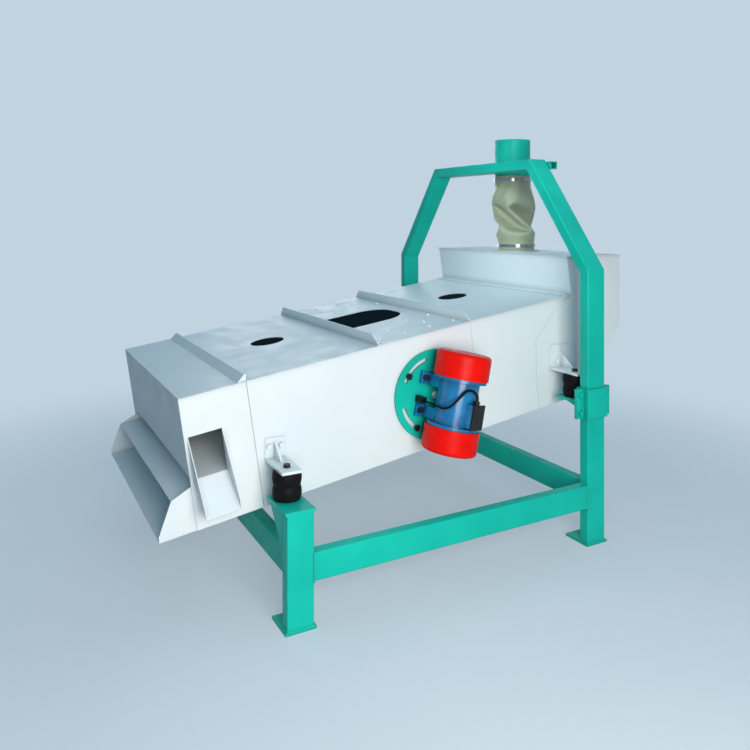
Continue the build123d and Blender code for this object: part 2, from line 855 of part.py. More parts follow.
def oversize_spout():
    wall = -half_box
    tip = wall - spout_reach
    low = trough_low - spout_drop
    under = trough_low - spout_sheet * math.sqrt(2)
    floor = end_shape([(wall, trough_low), (tip, low), (tip, low - spout_sheet * math.sqrt(2)),
                       (wall, under)],
                      opening_near_x, opening_far_x)
    side = [(wall, opening_top), (wall, under), (tip, low - spout_sheet * math.sqrt(2)),
            (tip, low + spout_lip)]
    near = end_shape(side, opening_near_x - spout_sheet, opening_near_x)
    far = end_shape(side, opening_far_x, opening_far_x + spout_sheet)
    return on_box(floor + near + far)


def screen(z0, hole):
    """A screen: its frame with cross bars, and the perforated plate on top."""
    z1 = z0 + screen_frame_height
    w = screen_half_width
    frame = block(screen_start_x, screen_end_x, -w, w, z0, z1)
    cells = screen_cross_bars + 1
    pitch = (screen_end_x - screen_start_x - screen_frame_bar) / cells
    for cell in range(cells):
        x0 = screen_start_x + screen_frame_bar + cell * pitch
        frame = frame - block(x0, x0 + pitch - screen_frame_bar, screen_frame_bar - w,
                              w - screen_frame_bar, z0, z1)
    sheet = Rectangle(screen_end_x - screen_start_x, 2 * w)
    across = int((2 * w - 2 * screen_frame_bar) / screen_hole_pitch)
    along = int((pitch - screen_frame_bar) / screen_hole_pitch)
    holes = GridLocations(screen_hole_pitch, screen_hole_pitch, along, across)
    middle = (screen_start_x + screen_end_x) / 2
    for cell in range(cells):
        x = screen_start_x + screen_frame_bar + cell * pitch + (pitch - screen_frame_bar) / 2 - middle
        sheet = sheet - [Pos(x, 0) * place * Rectangle(hole, hole) for place in holes]
    plate = Pos(middle, 0, z1) * extrude(sheet, amount=screen_plate)
    return on_box(frame + plate)


def screen_runners():
    runners = []
    for z in (upper_screen_z, lower_screen_z):
        bar = block(screen_start_x, screen_end_x, -inner_box, -inner_box + runner_width,
                    z - runner_height, z)
        runners = runners + both(on_box(bar))
    return runners


def spring_bracket(x, z0, face_y, outline, web_x):
    """A bracket that stands on a rubber spring and is bolted to the side of the box."""
    plate = block(x - bracket_length / 2, x + bracket_length / 2, -bracket_reach_y, -face_y, z0,
                  z0 + bracket_plate)
    plate = plate - rod(x, -spring_y, z0, z0 + bracket_plate, spring_bolt_d + 1)
    front_y = -face_y - bracket_upright
    upright = side_shape(outline, front_y, -face_y)
    top = z0 + bracket_plate
    web = end_shape([(front_y, top), (front_y, top + bracket_web_rise), (front_y - bracket_web_run, top)],
                    web_x - gusset_thickness / 2, web_x + gusset_thickness / 2)
    return plate + upright + web


def bracket_bolt(x, z, face_y):
    return hex_out(x, z, -face_y - bracket_upright, plate_bolt_head_height, plate_bolt_head)


def front_bracket():
    z0 = front_spring_top
    top = z0 + bracket_plate
    high = top + front_bracket_rise
    x0 = -leg_x - bracket_length / 2
    x1 = -leg_x + bracket_length / 2
    outline = [(x0, top), (x0, high), (x1, high), (x1, top)]
    bolts = [bracket_bolt(-leg_x + side * front_bolt_side, top + front_bolt_rise, half_box)
             for side in (-1, 1)]
    return [spring_bracket(-leg_x, z0, half_box, outline, -leg_x)] + bolts


def rear_bracket():
    z0 = rear_spring_top
    top = z0 + bracket_plate
    high = top + rear_bracket_rise
    face = half_box + cheek_sheet
    x0 = leg_x - bracket_length / 2
    x1 = leg_x + rear_bracket_flat
    x2 = leg_x + rear_bracket_tail
    outline = [(x0, top), (x0, high), (x1, high), (x2, top + rear_bracket_tail_rise), (x2, top)]
    web_x = leg_x + bracket_length / 2 - gusset_thickness / 2
    bolts = [bracket_bolt(leg_x, top + rear_bolt_low, face),
             bracket_bolt(leg_x + rear_bolt_side, top + rear_bolt_high, face)]
    return [spring_bracket(leg_x, z0, face, outline, web_x)] + bolts


def disc_bolt_angles():
    return [upper_inner_bolt_angle, upper_outer_bolt_angle, lower_outer_bolt_angle, lower_inner_bolt_angle]


def box_bolts():
    """The bolts of the springs and the clamp bolts of the swivel discs."""
    bolts = []
    for x, z0 in ((-leg_x, front_spring_top), (leg_x, rear_spring_top)):
        top = z0 + bracket_plate
        shank = rod(x, -spring_y, z0, top, spring_bolt_d)
        bolts.append(shank + hex_up(x, -spring_y, top, spring_bolt_head_height, spring_bolt_head))
    head_y = -disc_inner_y - disc_thickness - disc_gap
    for angle in disc_bolt_angles():
        x = box_x + slot_circle_r * math.cos(math.radians(angle))
        z = box_z + slot_circle_r * math.sin(math.radians(angle))
        shank = cross_rod(x, z, head_y, -half_box, disc_bolt_d)
        bolts.append(shank + hex_out(x, z, head_y, disc_bolt_head_height, disc_bolt_head))
    return [shape for bolt in bolts for shape in both(bolt)]


def on_motor(shape):
    """Places a shape drawn with an upright motor, disc centre at the origin,
    on the right side of the box."""
    return Pos(box_x, -disc_inner_y, box_z) * Rot(0, motor_lean, 0) * shape


def motor_rod(z0, z1, diameter):
    return rod(motor_shift, -disc_thickness - axis_height, z0, z1, diameter)


def swivel_disc():
    """The motor's round seat, with four arc slots that let it turn."""
    disc = Circle(disc_d / 2) - Circle(pivot_d / 2 + pivot_clearance)
    for angle in disc_bolt_angles():
        start = angle + motor_lean - slot_before
        arc = CenterArc((0, 0), slot_circle_r, start, slot_before + slot_after)
        disc = disc - SlotArc(arc, slot_width)
    return Plane.XZ * extrude(disc, amount=disc_thickness)


def motor_casing():
    half = casing_length / 2
    shell = motor_rod(-half, half, casing_d)
    shell = shell + motor_rod(half - flange_thickness, half, flange_d)
    shell = shell + motor_rod(-half, flange_thickness - half, flange_d)
    axis_y = -disc_thickness - axis_height
    for side in (-1, 1):
        for end in (-1, 1):
            pad = block(motor_shift + side * foot_pad_inner, motor_shift + side * foot_pad_outer,
                        -disc_thickness - foot_pad_thickness, -disc_thickness,
                        end * foot_pad_low, end * foot_pad_high)
            web = block(motor_shift + side * foot_pad_inner,
                        motor_shift + side * (foot_pad_inner + foot_web),
                        axis_y, -disc_thickness, end * foot_pad_low, end * (half - flange_thickness))
            hole = cross_rod(motor_shift + side * foot_bolt_x, end * foot_bolt_z,
                             -disc_thickness - foot_pad_thickness, -disc_thickness, foot_bolt_d + 1)
            shell = shell + web + (pad - hole)
    shell = shell + terminal_housing()
    inside = half - flange_thickness
    shell = shell - motor_rod(-stator_length / 2, stator_length / 2, stator_bore_d)
    shell = shell - motor_rod(stator_length / 2, inside, casing_d - 2 * casing_wall)
    shell = shell - motor_rod(-inside, -stator_length / 2, casing_d - 2 * casing_wall)
    return shell - motor_rod(-half, half, shaft_d + 2 * shaft_clearance)


def end_cover():
    """A domed cup over the eccentric weights, open toward the casing."""
    z0 = casing_length / 2
    z1 = z0 + end_cover_length
    cup = motor_rod(z0, z1, end_cover_d)
    cup = fillet(cup.edges().group_by(Axis.Z)[-1], end_cover_round)
    return cup - motor_rod(z0, z1 - end_cover_round, end_cover_d - 2 * end_cover_wall)


def end_covers():
    return [end_cover(), mirror(end_cover(), about=Plane.XY)]


def round_motor(shape):
    """Turns a shape drawn on the +X side of the casing to the terminal box's place round it."""
    return Pos(motor_shift, -disc_thickness - axis_height, 0) * Rot(0, 0, terminal_turn) * shape


def terminal_housing():
    """The cast housing on the casing that the terminal box's lid closes."""
    half = terminal_width / 2
    return round_motor(block(casing_d / 2 - terminal_seat, casing_d / 2 + terminal_reach - terminal_lid,
                             -half, half, terminal_low, terminal_high))


def terminal_box():
    """The lid of the terminal box, its cable gland, and the clip that holds the lead."""
    x1 = casing_d / 2 + terminal_reach
    half = terminal_width / 2
    lip = terminal_lid_lip
    lid = block(x1 - terminal_lid, x1, -half - lip, half + lip, terminal_low - lip, terminal_high + lip)
    gland = rod(x1 - gland_inset, 0, terminal_high, terminal_high + gland_height, gland_d)
    gland = gland - block(x1 - terminal_lid, x1, -half, half, terminal_high, terminal_high + lip)
    clip = block(motor_shift + clip_x - clip_width / 2, motor_shift + clip_x + clip_width / 2,
                 -disc_thickness - clip_height, -disc_thickness, clip_z - clip_width / 2,
                 clip_z + clip_width / 2)
    return [round_motor(lid), round_motor(gland), clip]


def round_point(radius, turn, height):
    """A point round the motor's axis."""
    return (motor_shift + radius * math.cos(math.radians(turn)),
            -disc_thickness - axis_height + radius * math.sin(math.radians(turn)), height)


def motor_cable():
    """The lead from the terminal box, over the front of the casing, to the clip beside the feet."""
    start = round_point(casing_d / 2 + terminal_reach - gland_inset, terminal_turn,
                        terminal_high + gland_height)
    end = (motor_shift + clip_x, -disc_thickness - clip_height, clip_z)
    crest = start[2] + cable_bend + cable_straight
    top = (start[0], start[1], crest)
    shoulder = (start[0] - cable_bend - cable_reach, start[1], crest)
    corner = (end[0], start[1], clip_z)
    path = FilletPolyline(start, top, shoulder, corner, end, radius=cable_bend)
    ring = Plane(origin=start, z_dir=(0, 0, 1)) * Circle(cable_d / 2)
    return sweep(ring, path=path)


def motor_bolts():
    bolts = []
    seat = -disc_thickness - foot_pad_thickness
    for side in (-1, 1):
        for end in (-1, 1):
            x = motor_shift + side * foot_bolt_x
            shank = cross_rod(x, end * foot_bolt_z, seat, -disc_thickness, foot_bolt_d)
            bolts.append(shank + hex_out(x, end * foot_bolt_z, seat, foot_bolt_head_height, foot_bolt_head))
    return bolts


def rotor():
    """The shaft and core with two pairs of eccentric weights."""
    shape = motor_rod(-shaft_length / 2, shaft_length / 2, shaft_d)
    shape = shape + motor_rod(-core_length / 2, core_length / 2, core_d)
    axis_y = -disc_thickness - axis_height
    for end in (-1, 1):
        for step in range(2):
            z0 = end * (weight_offset + step * weight_pitch)
            z1 = z0 + end * weight_thickness
            disc = motor_rod(z0, z1, 2 * weight_r)
            cut = block(motor_shift - weight_r, motor_shift, axis_y - weight_r, axis_y + weight_r, z0, z1)
            shape = shape + (disc - cut) + motor_rod(z0, z1, 2 * weight_hub_r)
    return shape


def save(name, shapes):
    """Writes one node."""
    parts = shapes if isinstance(shapes, list) else [shapes]
    solids = [solid for part in parts for solid in part.solids()]
    export_step(Compound(children=solids), "parts/" + name + ".step")


save("front_legs", both(front_leg()))
save("side_rails", both(side_rail()))
save("cross_rails", [cross_rail(-leg_x), cross_rail(leg_x)])
save("foot_plates", both(foot_plate(-leg_x)) + both(foot_plate(leg_x)))
save("spring_seats", both(spring_seat()))
save("rear_posts", both(arch_member(post_outline)))
save("gantry_struts", both(arch_member(strut_outline)))
save("gantry_beam", arch_member(beam_outline))
save("pipe_support_bar", support_bar())
save("feed_pipe", feed_pipe())
save("inlet_sleeve", inlet_sleeve())
save("upper_clamp", hose_clamp(pipe_x, sleeve_top - clamp_inset - clamp_height))
save("lower_clamp", hose_clamp(spigot_x, hopper_top + spigot_rise - clamp_inset - clamp_height))

for side_name, flip in (("right", False), ("left", True)):
    def place(shapes):
        group = shapes if isinstance(shapes, list) else [shapes]
        return [mirror(shape, about=Plane.XZ) if flip else shape for shape in group]

    def mount(shapes):
        group = shapes if isinstance(shapes, list) else [shapes]
        return place([on_motor(shape) for shape in group])

    save("outer_collar_" + side_name, place(outer_collar()))
    save("spring_shelf_" + side_name, place(inner_collar()))
    save("collar_bolts_" + side_name, place(collar_bolts()))
    save("side_plate_" + side_name, place(side_plate()))
    save("swivel_disc_" + side_name, mount(swivel_disc()))
    save("motor_casing_" + side_name, mount(motor_casing()))
    save("end_covers_" + side_name, mount(end_covers()))
    save("terminal_box_" + side_name, mount(terminal_box()))
    save("motor_cable_" + side_name, mount(motor_cable()))
    save("motor_bolts_" + side_name, mount(motor_bolts()))
    save("rotor_" + side_name, mount(rotor()))

save("front_springs", both(rubber_spring(-leg_x, seat_top)))
save("rear_springs", both(rubber_spring(leg_x, shelf_top)))
save("hopper_cheeks", both(hopper_cheek()))
save("bottom_pan", bottom_pan())
save("hopper_front_wall", hopper_front_wall())
save("hopper_rear_wall", hopper_rear_wall())
save("hopper_lid", hopper_lid())
save("inlet_spigot", inlet_spigot())
save("feed_spreader", feed_spreader())
save("front_cover", sight_cover(hood_joint_x + hood_joint_gap / 2, middle_rib_x, front_sight_x))
save("middle_cover", middle_cover())
save("rear_cover", sight_cover(rear_rib_x, hopper_front_x, rear_sight_x))
save("sight_panes", sight_panes())
save("cover_ribs", [hood_rib(), cover_rib(middle_rib_x, rib_height), cover_rib(rear_rib_x, rib_height)])
save("cover_bolts", cover_bolts())
save("hood_sides", hood_sides())
save("hood_cover", hood_cover())
save("grain_outlet", grain_outlet())
save("oversize_trough", oversize_trough())
save("oversize_spout", oversize_spout())
save("upper_screen", screen(upper_screen_z, upper_hole))
save("lower_screen", screen(lower_screen_z, lower_hole))
save("screen_runners", screen_runners())
save("spring_brackets", [half for shape in front_bracket() + rear_bracket() for half in both(shape)])
save("box_bolts", box_bolts())
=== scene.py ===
"""Vibrating sieve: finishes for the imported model, a cloth sleeve, cover bolts, weld beads and a studio."""

import json
import logging
import math
from dataclasses import dataclass, field
from enum import Enum
from typing import Callable, Dict, List, Optional, Sequence, Tuple

import bpy
from mathutils import Matrix, Vector

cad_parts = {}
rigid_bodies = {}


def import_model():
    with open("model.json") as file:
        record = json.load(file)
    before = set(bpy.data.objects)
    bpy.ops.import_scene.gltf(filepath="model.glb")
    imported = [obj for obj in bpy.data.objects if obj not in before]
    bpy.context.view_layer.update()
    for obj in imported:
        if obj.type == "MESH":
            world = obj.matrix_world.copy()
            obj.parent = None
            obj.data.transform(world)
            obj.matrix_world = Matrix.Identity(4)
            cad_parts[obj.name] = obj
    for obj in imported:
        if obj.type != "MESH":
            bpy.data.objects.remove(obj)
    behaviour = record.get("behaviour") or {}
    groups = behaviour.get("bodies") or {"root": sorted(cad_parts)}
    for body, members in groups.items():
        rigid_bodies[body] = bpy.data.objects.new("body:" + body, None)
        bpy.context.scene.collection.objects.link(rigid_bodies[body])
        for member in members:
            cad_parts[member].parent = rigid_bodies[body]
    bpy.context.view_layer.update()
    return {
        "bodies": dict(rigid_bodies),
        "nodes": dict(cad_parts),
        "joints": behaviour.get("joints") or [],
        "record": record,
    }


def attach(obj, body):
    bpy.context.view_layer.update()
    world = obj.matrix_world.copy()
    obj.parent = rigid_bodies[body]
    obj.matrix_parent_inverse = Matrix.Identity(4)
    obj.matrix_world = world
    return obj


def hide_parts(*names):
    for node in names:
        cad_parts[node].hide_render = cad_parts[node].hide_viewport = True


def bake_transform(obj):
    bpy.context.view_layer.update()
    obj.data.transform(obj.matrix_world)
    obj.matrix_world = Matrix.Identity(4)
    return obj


LOG = logging.getLogger("sieve")

Colour = Tuple[float, float, float]
Point = Tuple[float, float, float]
Socket = bpy.types.NodeSocket
Material = bpy.types.Material
Piece = bpy.types.Object

# The sieve box: its slope, its middle and how far its top is above that, in metres
BOX_TILT = math.radians(8.4)
BOX_MIDDLE = Vector((0.014, 0.0, 0.6764))
BOX_TOP = 0.262

# What the camera sees past the floor
BACKGROUND: Colour = (0.54, 0.65, 0.75)
BLACK: Colour = (0.0, 0.0, 0.0)

# Places of sockets whose names repeat on their node
MIX_LOW, MIX_HIGH, MIX_RESULT = 6, 7, 2
RANDOM_LEAST, RANDOM_MOST, RANDOM_RESULT = 2, 3, 1


class Finish(Enum):
    """The finishes of the machine, one for each kind of surface."""

    GREEN = "green_paint"
    WHITE = "white_paint"
    RED = "red_enamel"
    BLUE = "blue_enamel"
    RUBBER = "black_rubber"
    STEEL = "bright_steel"
    BLACK_STEEL = "black_steel"
    PLASTIC = "black_plastic"
    CAP = "white_cap"
    PANE = "pane_painted_inner_shade"
    CANVAS = "olive_canvas"
    WOOD = "screen_wood"
    IRON = "machined_iron"
    FLOOR = "pale_floor"


@dataclass(frozen=True)
class Surface:
    """How paint, metal, rubber or plastic looks.

    Args:
        colour: base colour, linear.
        shade: second colour that the first one is mottled with.
        roughness: mean roughness.
        spread: how far the roughness strays from the mean.
        metallic: 1 for bare metal.
        coat: strength of a clear coat.
        coat_roughness: roughness of the clear coat.
        mottle: colour patches per metre.
        rough_mottle: patches of roughness for each colour patch.
        grain: grains of the fine bump per metre.
        bump: strength of the fine bump.
        depth: depth of the fine bump, in metres.
        edge: radius that edges are softened to, in metres.
        corner_shade: how dark the corners get.
        corner_shade_reach: distance from a corner that the dirt covers, in metres.
        gloss: strength of the reflection of a surface that isn't bare metal.
        index: refractive index, which sets how much the surface mirrors at a low angle.
        wear: how far the paint is rubbed pale on its edges.
        wear_reach: reach of the wear, in edge radii.
        worn_share: share of the base colour that is left where the paint is rubbed.
        worn_grey: grey that takes the place of the rest.
        swell: strength of the slow waves of hand-worked sheet.
    """

    colour: Colour
    shade: Colour
    roughness: float
    spread: float = 0.08
    metallic: float = 0.0
    coat: float = 0.0
    coat_roughness: float = 0.12
    mottle: float = 5.0
    rough_mottle: float = 4.0
    grain: float = 700.0
    bump: float = 0.04
    depth: float = 0.001
    edge: float = 0.0015
    # corner_shade: how dark the corners are painted, as painted shade where ambient occlusion finds them.
    corner_shade: float = 0.25
    # corner_shade_reach: distance from a corner that the painted shade covers, in metres.
    corner_shade_reach: float = 0.03
    gloss: float = 0.5
    index: float = 1.45
    wear: float = 0.0
    wear_reach: float = 1.6
    worn_share: float = 0.55
    worn_grey: float = 0.30
    swell: float = 0.0

    @property
    def corner_shade_colour(self) -> Colour:
        """Colour of the painted shade in the corners."""
        return tuple(part * (1.0 - self.corner_shade) for part in self.shade)

    @property
    def rubbed(self) -> Colour:
        """Colour of the worn edges."""
        return tuple(self.worn_share * part + self.worn_grey for part in self.colour)


@dataclass(frozen=True)
class Canvas:
    """How the woven sleeve looks, with its weave and its seam laid out on the flat cloth in metres.

    Args:
        colour: colour of the cloth.
        shade: second colour that the first one is mottled with.
        gap: colour between the woven threads.
        thread: colour of the sewing thread.
        mottle: colour patches per metre.
        weave: scale of the weave.
        stray: how far the woven threads stray.
        stitches: scale of the stitches.
        stitch_level: how high the stitch wave has to be for the thread to show.
        seam_at: distance of the stitches from the cloth's edge.
        seam_half: half the width of the line of stitches.
        lap: width of the seam's lap.
        roughness: least and most roughness.
        rough_mottle: patches of roughness per metre.
        sheen: strength of the fibres' sheen.
        bump: strength of the weave's bump.
        depth: depth of the weave, in metres.
    """

    colour: Colour = (0.500, 0.560, 0.390)
    shade: Colour = (0.385, 0.440, 0.295)
    gap: Colour = (0.315, 0.365, 0.240)
    thread: Colour = (0.62, 0.62, 0.48)
    mottle: float = 26.0
    weave: float = 150.0
    stray: float = 0.4
    stitches: float = 52.0
    stitch_level: float = 0.35
    seam_at: float = 0.014
    seam_half: float = 0.0011
    lap: float = 0.022
    roughness: Tuple[float, float] = (0.30, 0.42)
    rough_mottle: float = 60.0
    sheen: float = 0.2
    bump: float = 0.35
    depth: float = 0.0006


@dataclass(frozen=True)
class Wood:
    """How the plain wood of the screen frames looks.

    Args:
        colour: colour of the pale rings.
        shade: colour of the dark rings.
        rings: scale of the rings.
        stray: how far the rings stray.
        roughness: least and most roughness.
        rough_mottle: patches of roughness per metre.
        bump: strength of the rings' bump.
        depth: depth of the rings, in metres.
        edge: radius that edges are softened to, in metres.
    """

    colour: Colour = (0.48, 0.33, 0.18)
    shade: Colour = (0.34, 0.22, 0.11)
    rings: float = 30.0
    stray: float = 3.0
    roughness: Tuple[float, float] = (0.5, 0.7)
    rough_mottle: float = 40.0
    bump: float = 0.1
    depth: float = 0.001
    edge: float = 0.001


@dataclass(frozen=True)
class PaleFloor:
    """How the floor looks, which fades into the background away from the object.

    Args:
        colour: colour near the object.
        shade: second colour that the first one is mottled with.
        glow: light that it gives off near the object.
        mottle: colour patches per metre.
        roughness: its roughness.
        fade_from: distance from the middle at which it starts to fade.
        fade_to: distance at which it is all background.
    """

    colour: Colour = (0.43, 0.455, 0.475)
    shade: Colour = (0.41, 0.435, 0.457)
    glow: Colour = (0.25, 0.305, 0.345)
    mottle: float = 1.5
    roughness: float = 0.9
    fade_from: float = 1.5
    fade_to: float = 3.6


# The corner darkening set in each finish below is painted shade, strongest on the blue casing.
SURFACES: Dict[Finish, Surface] = {
    Finish.GREEN: Surface((0.008, 0.58, 0.445), (0.006, 0.48, 0.375), 0.40, corner_shade=0.45, gloss=0.18,
                          wear=0.25, swell=0.05),
    Finish.WHITE: Surface((0.83, 0.90, 0.915), (0.77, 0.86, 0.885), 0.46, mottle=3.0, corner_shade=0.45,
                          gloss=0.3, wear=0.2, swell=0.22),
    Finish.RED: Surface((0.90, 0.008, 0.004), (0.78, 0.006, 0.003), 0.34, mottle=14.0, corner_shade=0.55,
                        gloss=0.12),
    Finish.BLUE: Surface((0.006, 0.24, 0.50), (0.003, 0.13, 0.33), 0.20, coat=0.10, mottle=18.0,
                         bump=0.10, corner_shade=0.75),
    Finish.RUBBER: Surface((0.005, 0.005, 0.006), (0.010, 0.010, 0.010), 0.55, mottle=30.0, bump=0.10,
                           corner_shade=0.1, gloss=0.08),
    Finish.STEEL: Surface((0.30, 0.31, 0.35), (0.20, 0.21, 0.24), 0.20, metallic=1.0, mottle=40.0,
                          corner_shade=0.2),
    Finish.BLACK_STEEL: Surface((0.006, 0.006, 0.007), (0.014, 0.013, 0.012), 0.38, mottle=60.0,
                                gloss=0.4),
    Finish.PLASTIC: Surface((0.006, 0.006, 0.007), (0.012, 0.012, 0.013), 0.42, mottle=30.0, bump=0.12,
                            gloss=0.3),
    Finish.CAP: Surface((0.95, 0.97, 0.98), (0.90, 0.93, 0.95), 0.16, mottle=40.0, corner_shade=0.15, coat=0.4,
                        gloss=0.7),
    # The sight panes are near black and mirror nothing: painted shade of the box's inside seen through them.
    Finish.PANE: Surface((0.010, 0.019, 0.024), (0.015, 0.026, 0.031), 0.22, mottle=8.0, bump=0.01,
                         gloss=0.0),
    Finish.IRON: Surface((0.30, 0.30, 0.31), (0.22, 0.22, 0.23), 0.40, metallic=0.9, mottle=50.0),
}

NODE_FINISH: Dict[Finish, Tuple[str, ...]] = {
    Finish.GREEN: ("front_legs", "side_rails", "cross_rails", "foot_plates", "spring_seats", "rear_posts",
                   "gantry_struts", "gantry_beam", "pipe_support_bar", "feed_pipe", "outer_collar_right",
                   "outer_collar_left", "spring_shelf_right", "spring_shelf_left", "collar_bolts_right",
                   "collar_bolts_left", "swivel_disc_right", "swivel_disc_left"),
    Finish.WHITE: ("side_plate_right", "side_plate_left", "hopper_cheeks", "bottom_pan",
                   "hopper_front_wall", "hopper_rear_wall", "hopper_lid", "inlet_spigot", "feed_spreader",
                   "front_cover", "middle_cover", "rear_cover", "cover_ribs", "cover_bolts", "hood_sides",
                   "hood_cover", "grain_outlet", "oversize_trough", "oversize_spout", "screen_runners",
                   "spring_brackets"),
    Finish.RED: ("end_covers_right", "end_covers_left"),
    Finish.BLUE: ("motor_casing_right", "motor_casing_left"),
    Finish.RUBBER: ("front_springs", "rear_springs", "motor_cable_right", "motor_cable_left"),
    Finish.STEEL: ("upper_clamp", "lower_clamp"),
    Finish.BLACK_STEEL: ("box_bolts", "motor_bolts_right", "motor_bolts_left"),
    Finish.PLASTIC: ("terminal_box_right", "terminal_box_left"),
    Finish.PANE: ("sight_panes",),
    Finish.CANVAS: ("inlet_sleeve",),
    Finish.WOOD: ("upper_screen", "lower_screen"),
    Finish.IRON: ("rotor_right", "rotor_left"),
}


class Nodes:
    """A node tree under construction.

    Args:
        tree: the tree that nodes are added to.
    """

    def __init__(self, tree: bpy.types.NodeTree) -> None:
        self.tree = tree

    def add(self, kind: str, inputs: Optional[Dict[object, object]] = None,
            **settings: object) -> bpy.types.Node:
        """Adds a node.

        Args:
            kind: the node's type.
            inputs: what its sockets read, as in fill.
            **settings: properties to set on it.

        Returns:
            The node.
        """
        node = self.tree.nodes.new(kind)
        for key, value in settings.items():
            setattr(node, key, value)
        self.fill(node, inputs or {})
        return node

    def fill(self, node: bpy.types.Node, inputs: Dict[object, object]) -> None:
        """Gives sockets of a node, by name or place, what they read, as in feed."""
        for key, value in inputs.items():
            self.feed(node.inputs[key], value)

    def link(self, source: Socket, target: Socket) -> None:
        """Joins two sockets."""
        self.tree.links.new(source, target)

    def feed(self, target: Socket, value: object) -> None:
        """Gives a socket what it reads.

        Args:
            target: the socket.
            value: another socket, a colour, a number or a material.
        """
        if isinstance(value, Socket):
            self.link(value, target)
        elif isinstance(value, tuple):
            target.default_value = (*value, 1.0)
        else:
            target.default_value = value

    def mix(self, factor: Socket, low: object, high: object) -> Socket:
        """Mixes two colours, sockets or plain ones: low where the factor is 0 and high where it is 1."""
        node = self.add("ShaderNodeMix", {"Factor": factor, MIX_LOW: low, MIX_HIGH: high}, data_type="RGBA")
        return node.outputs[MIX_RESULT]

    def math(self, operation: str, *values: object) -> Socket:
        """Adds a sum, product or test of sockets and plain numbers, given in order."""
        node = self.add("ShaderNodeMath", dict(enumerate(values)), operation=operation)
        return node.outputs["Value"]

    def ramp(self, source: Socket, start: float, end: float, low: float = 0.0, high: float = 1.0,
             curve: str = "LINEAR") -> Socket:
        """Maps a value that goes from start to end to one that goes from low to high."""
        inputs = {"Value": source, "From Min": start, "From Max": end, "To Min": low, "To Max": high}
        return self.add("ShaderNodeMapRange", inputs, interpolation_type=curve).outputs["Result"]


class Graph(Nodes):
    """A material's shader graph under construction.

    Args:
        name: name of the material.

    Attributes:
        noise_low: level of a noise that few places lie below.
        noise_high: level of a noise that few places lie above.
        bevel_samples: rays that round an edge.
        corner_samples: rays that look for a corner.
        edge_starts: likeness of the rounded and the true normal where an edge starts.
        edge_full: likeness where an edge is at its sharpest.
        wear_mottle: rubbed patches per metre.
        swell_waves: slow waves of the sheet per metre.
        swell_depth: depth of those waves, in metres.
    """

    noise_low: float = 0.3
    noise_high: float = 0.7
    bevel_samples: int = 4
    corner_samples: int = 6
    edge_starts: float = 0.995
    edge_full: float = 0.86
    wear_mottle: float = 38.0
    swell_waves: float = 3.2
    swell_depth: float = 0.02

    def __init__(self, name: str) -> None:
        self.material = bpy.data.materials.new(name)
        self.material.use_nodes = True
        super().__init__(self.material.node_tree)
        self.shader = self.tree.nodes["Principled BSDF"]
        self.place = self.add("ShaderNodeTexCoord").outputs["Object"]

    def set(self, inputs: Dict[object, object]) -> None:
        """Gives inputs of the shader, by name, a socket, a colour or a number each."""
        self.fill(self.shader, inputs)

    def noise(self, scale: float, detail: float = 3.0) -> Socket:
        """Adds a noise in object space, with so many features per metre and octaves of detail."""
        node = self.add("ShaderNodeTexNoise", {"Scale": scale, "Detail": detail, "Vector": self.place})
        return node.outputs["Fac"]

    def wave(self, place: Socket, direction: str, scale: float, stray: float = 0.0) -> Socket:
        """Adds bands across one axis of a place, which stray so far from straight."""
        inputs = {"Vector": place, "Scale": scale, "Distortion": stray}
        return self.add("ShaderNodeTexWave", inputs, bands_direction=direction).outputs["Fac"]

    def spread(self, source: Socket, low: float, high: float) -> Socket:
        """Spreads the middle of a noise over a range."""
        return self.ramp(source, self.noise_low, self.noise_high, low, high)

    def rounded(self, radius: float) -> Socket:
        """Gives the normal of a surface whose edges are rounded to a radius."""
        return self.add("ShaderNodeBevel", {"Radius": radius}, samples=self.bevel_samples).outputs["Normal"]

    def rubbed_edges(self, radius: float, amount: float) -> Socket:
        """Finds the edges by how far a rounded normal leaves the true one, and breaks them up.

        Args:
            radius: reach of the wear from the edge, in metres.
            amount: the strongest wear.

        Returns:
            The wear's value socket.
        """
        normals = {0: self.rounded(radius), 1: self.add("ShaderNodeNewGeometry").outputs["True Normal"]}
        likeness = self.add("ShaderNodeVectorMath", normals, operation="DOT_PRODUCT")
        found = self.ramp(likeness.outputs["Value"], self.edge_starts, self.edge_full, high=amount)
        return self.math("MULTIPLY", found, self.spread(self.noise(self.wear_mottle, detail=4.0), 0.0, 1.0))

    def bumped(self, height: Socket, strength: float, depth: float) -> bpy.types.Node:
        """Adds a bump of a height, with its strength and its depth in metres."""
        return self.add("ShaderNodeBump", {"Height": height, "Strength": strength, "Distance": depth})

    def normal(self, height: Socket, strength: float, depth: float, edge: float = 0.0,
               swell: float = 0.0) -> None:
        """Bends the surface normal by a height, on edges softened to a radius.

        Args:
            height: height socket.
            strength: bump strength.
            depth: bump depth in metres.
            edge: edge radius in metres, 0 for none.
            swell: strength of the slow waves of the sheet, 0 for none.
        """
        bump = self.bumped(height, strength, depth)
        under = bump
        if swell > 0:
            under = self.bumped(self.noise(self.swell_waves, detail=1.0), swell, self.swell_depth)
            self.link(under.outputs["Normal"], bump.inputs["Normal"])
        if edge > 0:
            self.link(self.rounded(edge), under.inputs["Normal"])
        self.set({"Normal": bump.outputs["Normal"]})


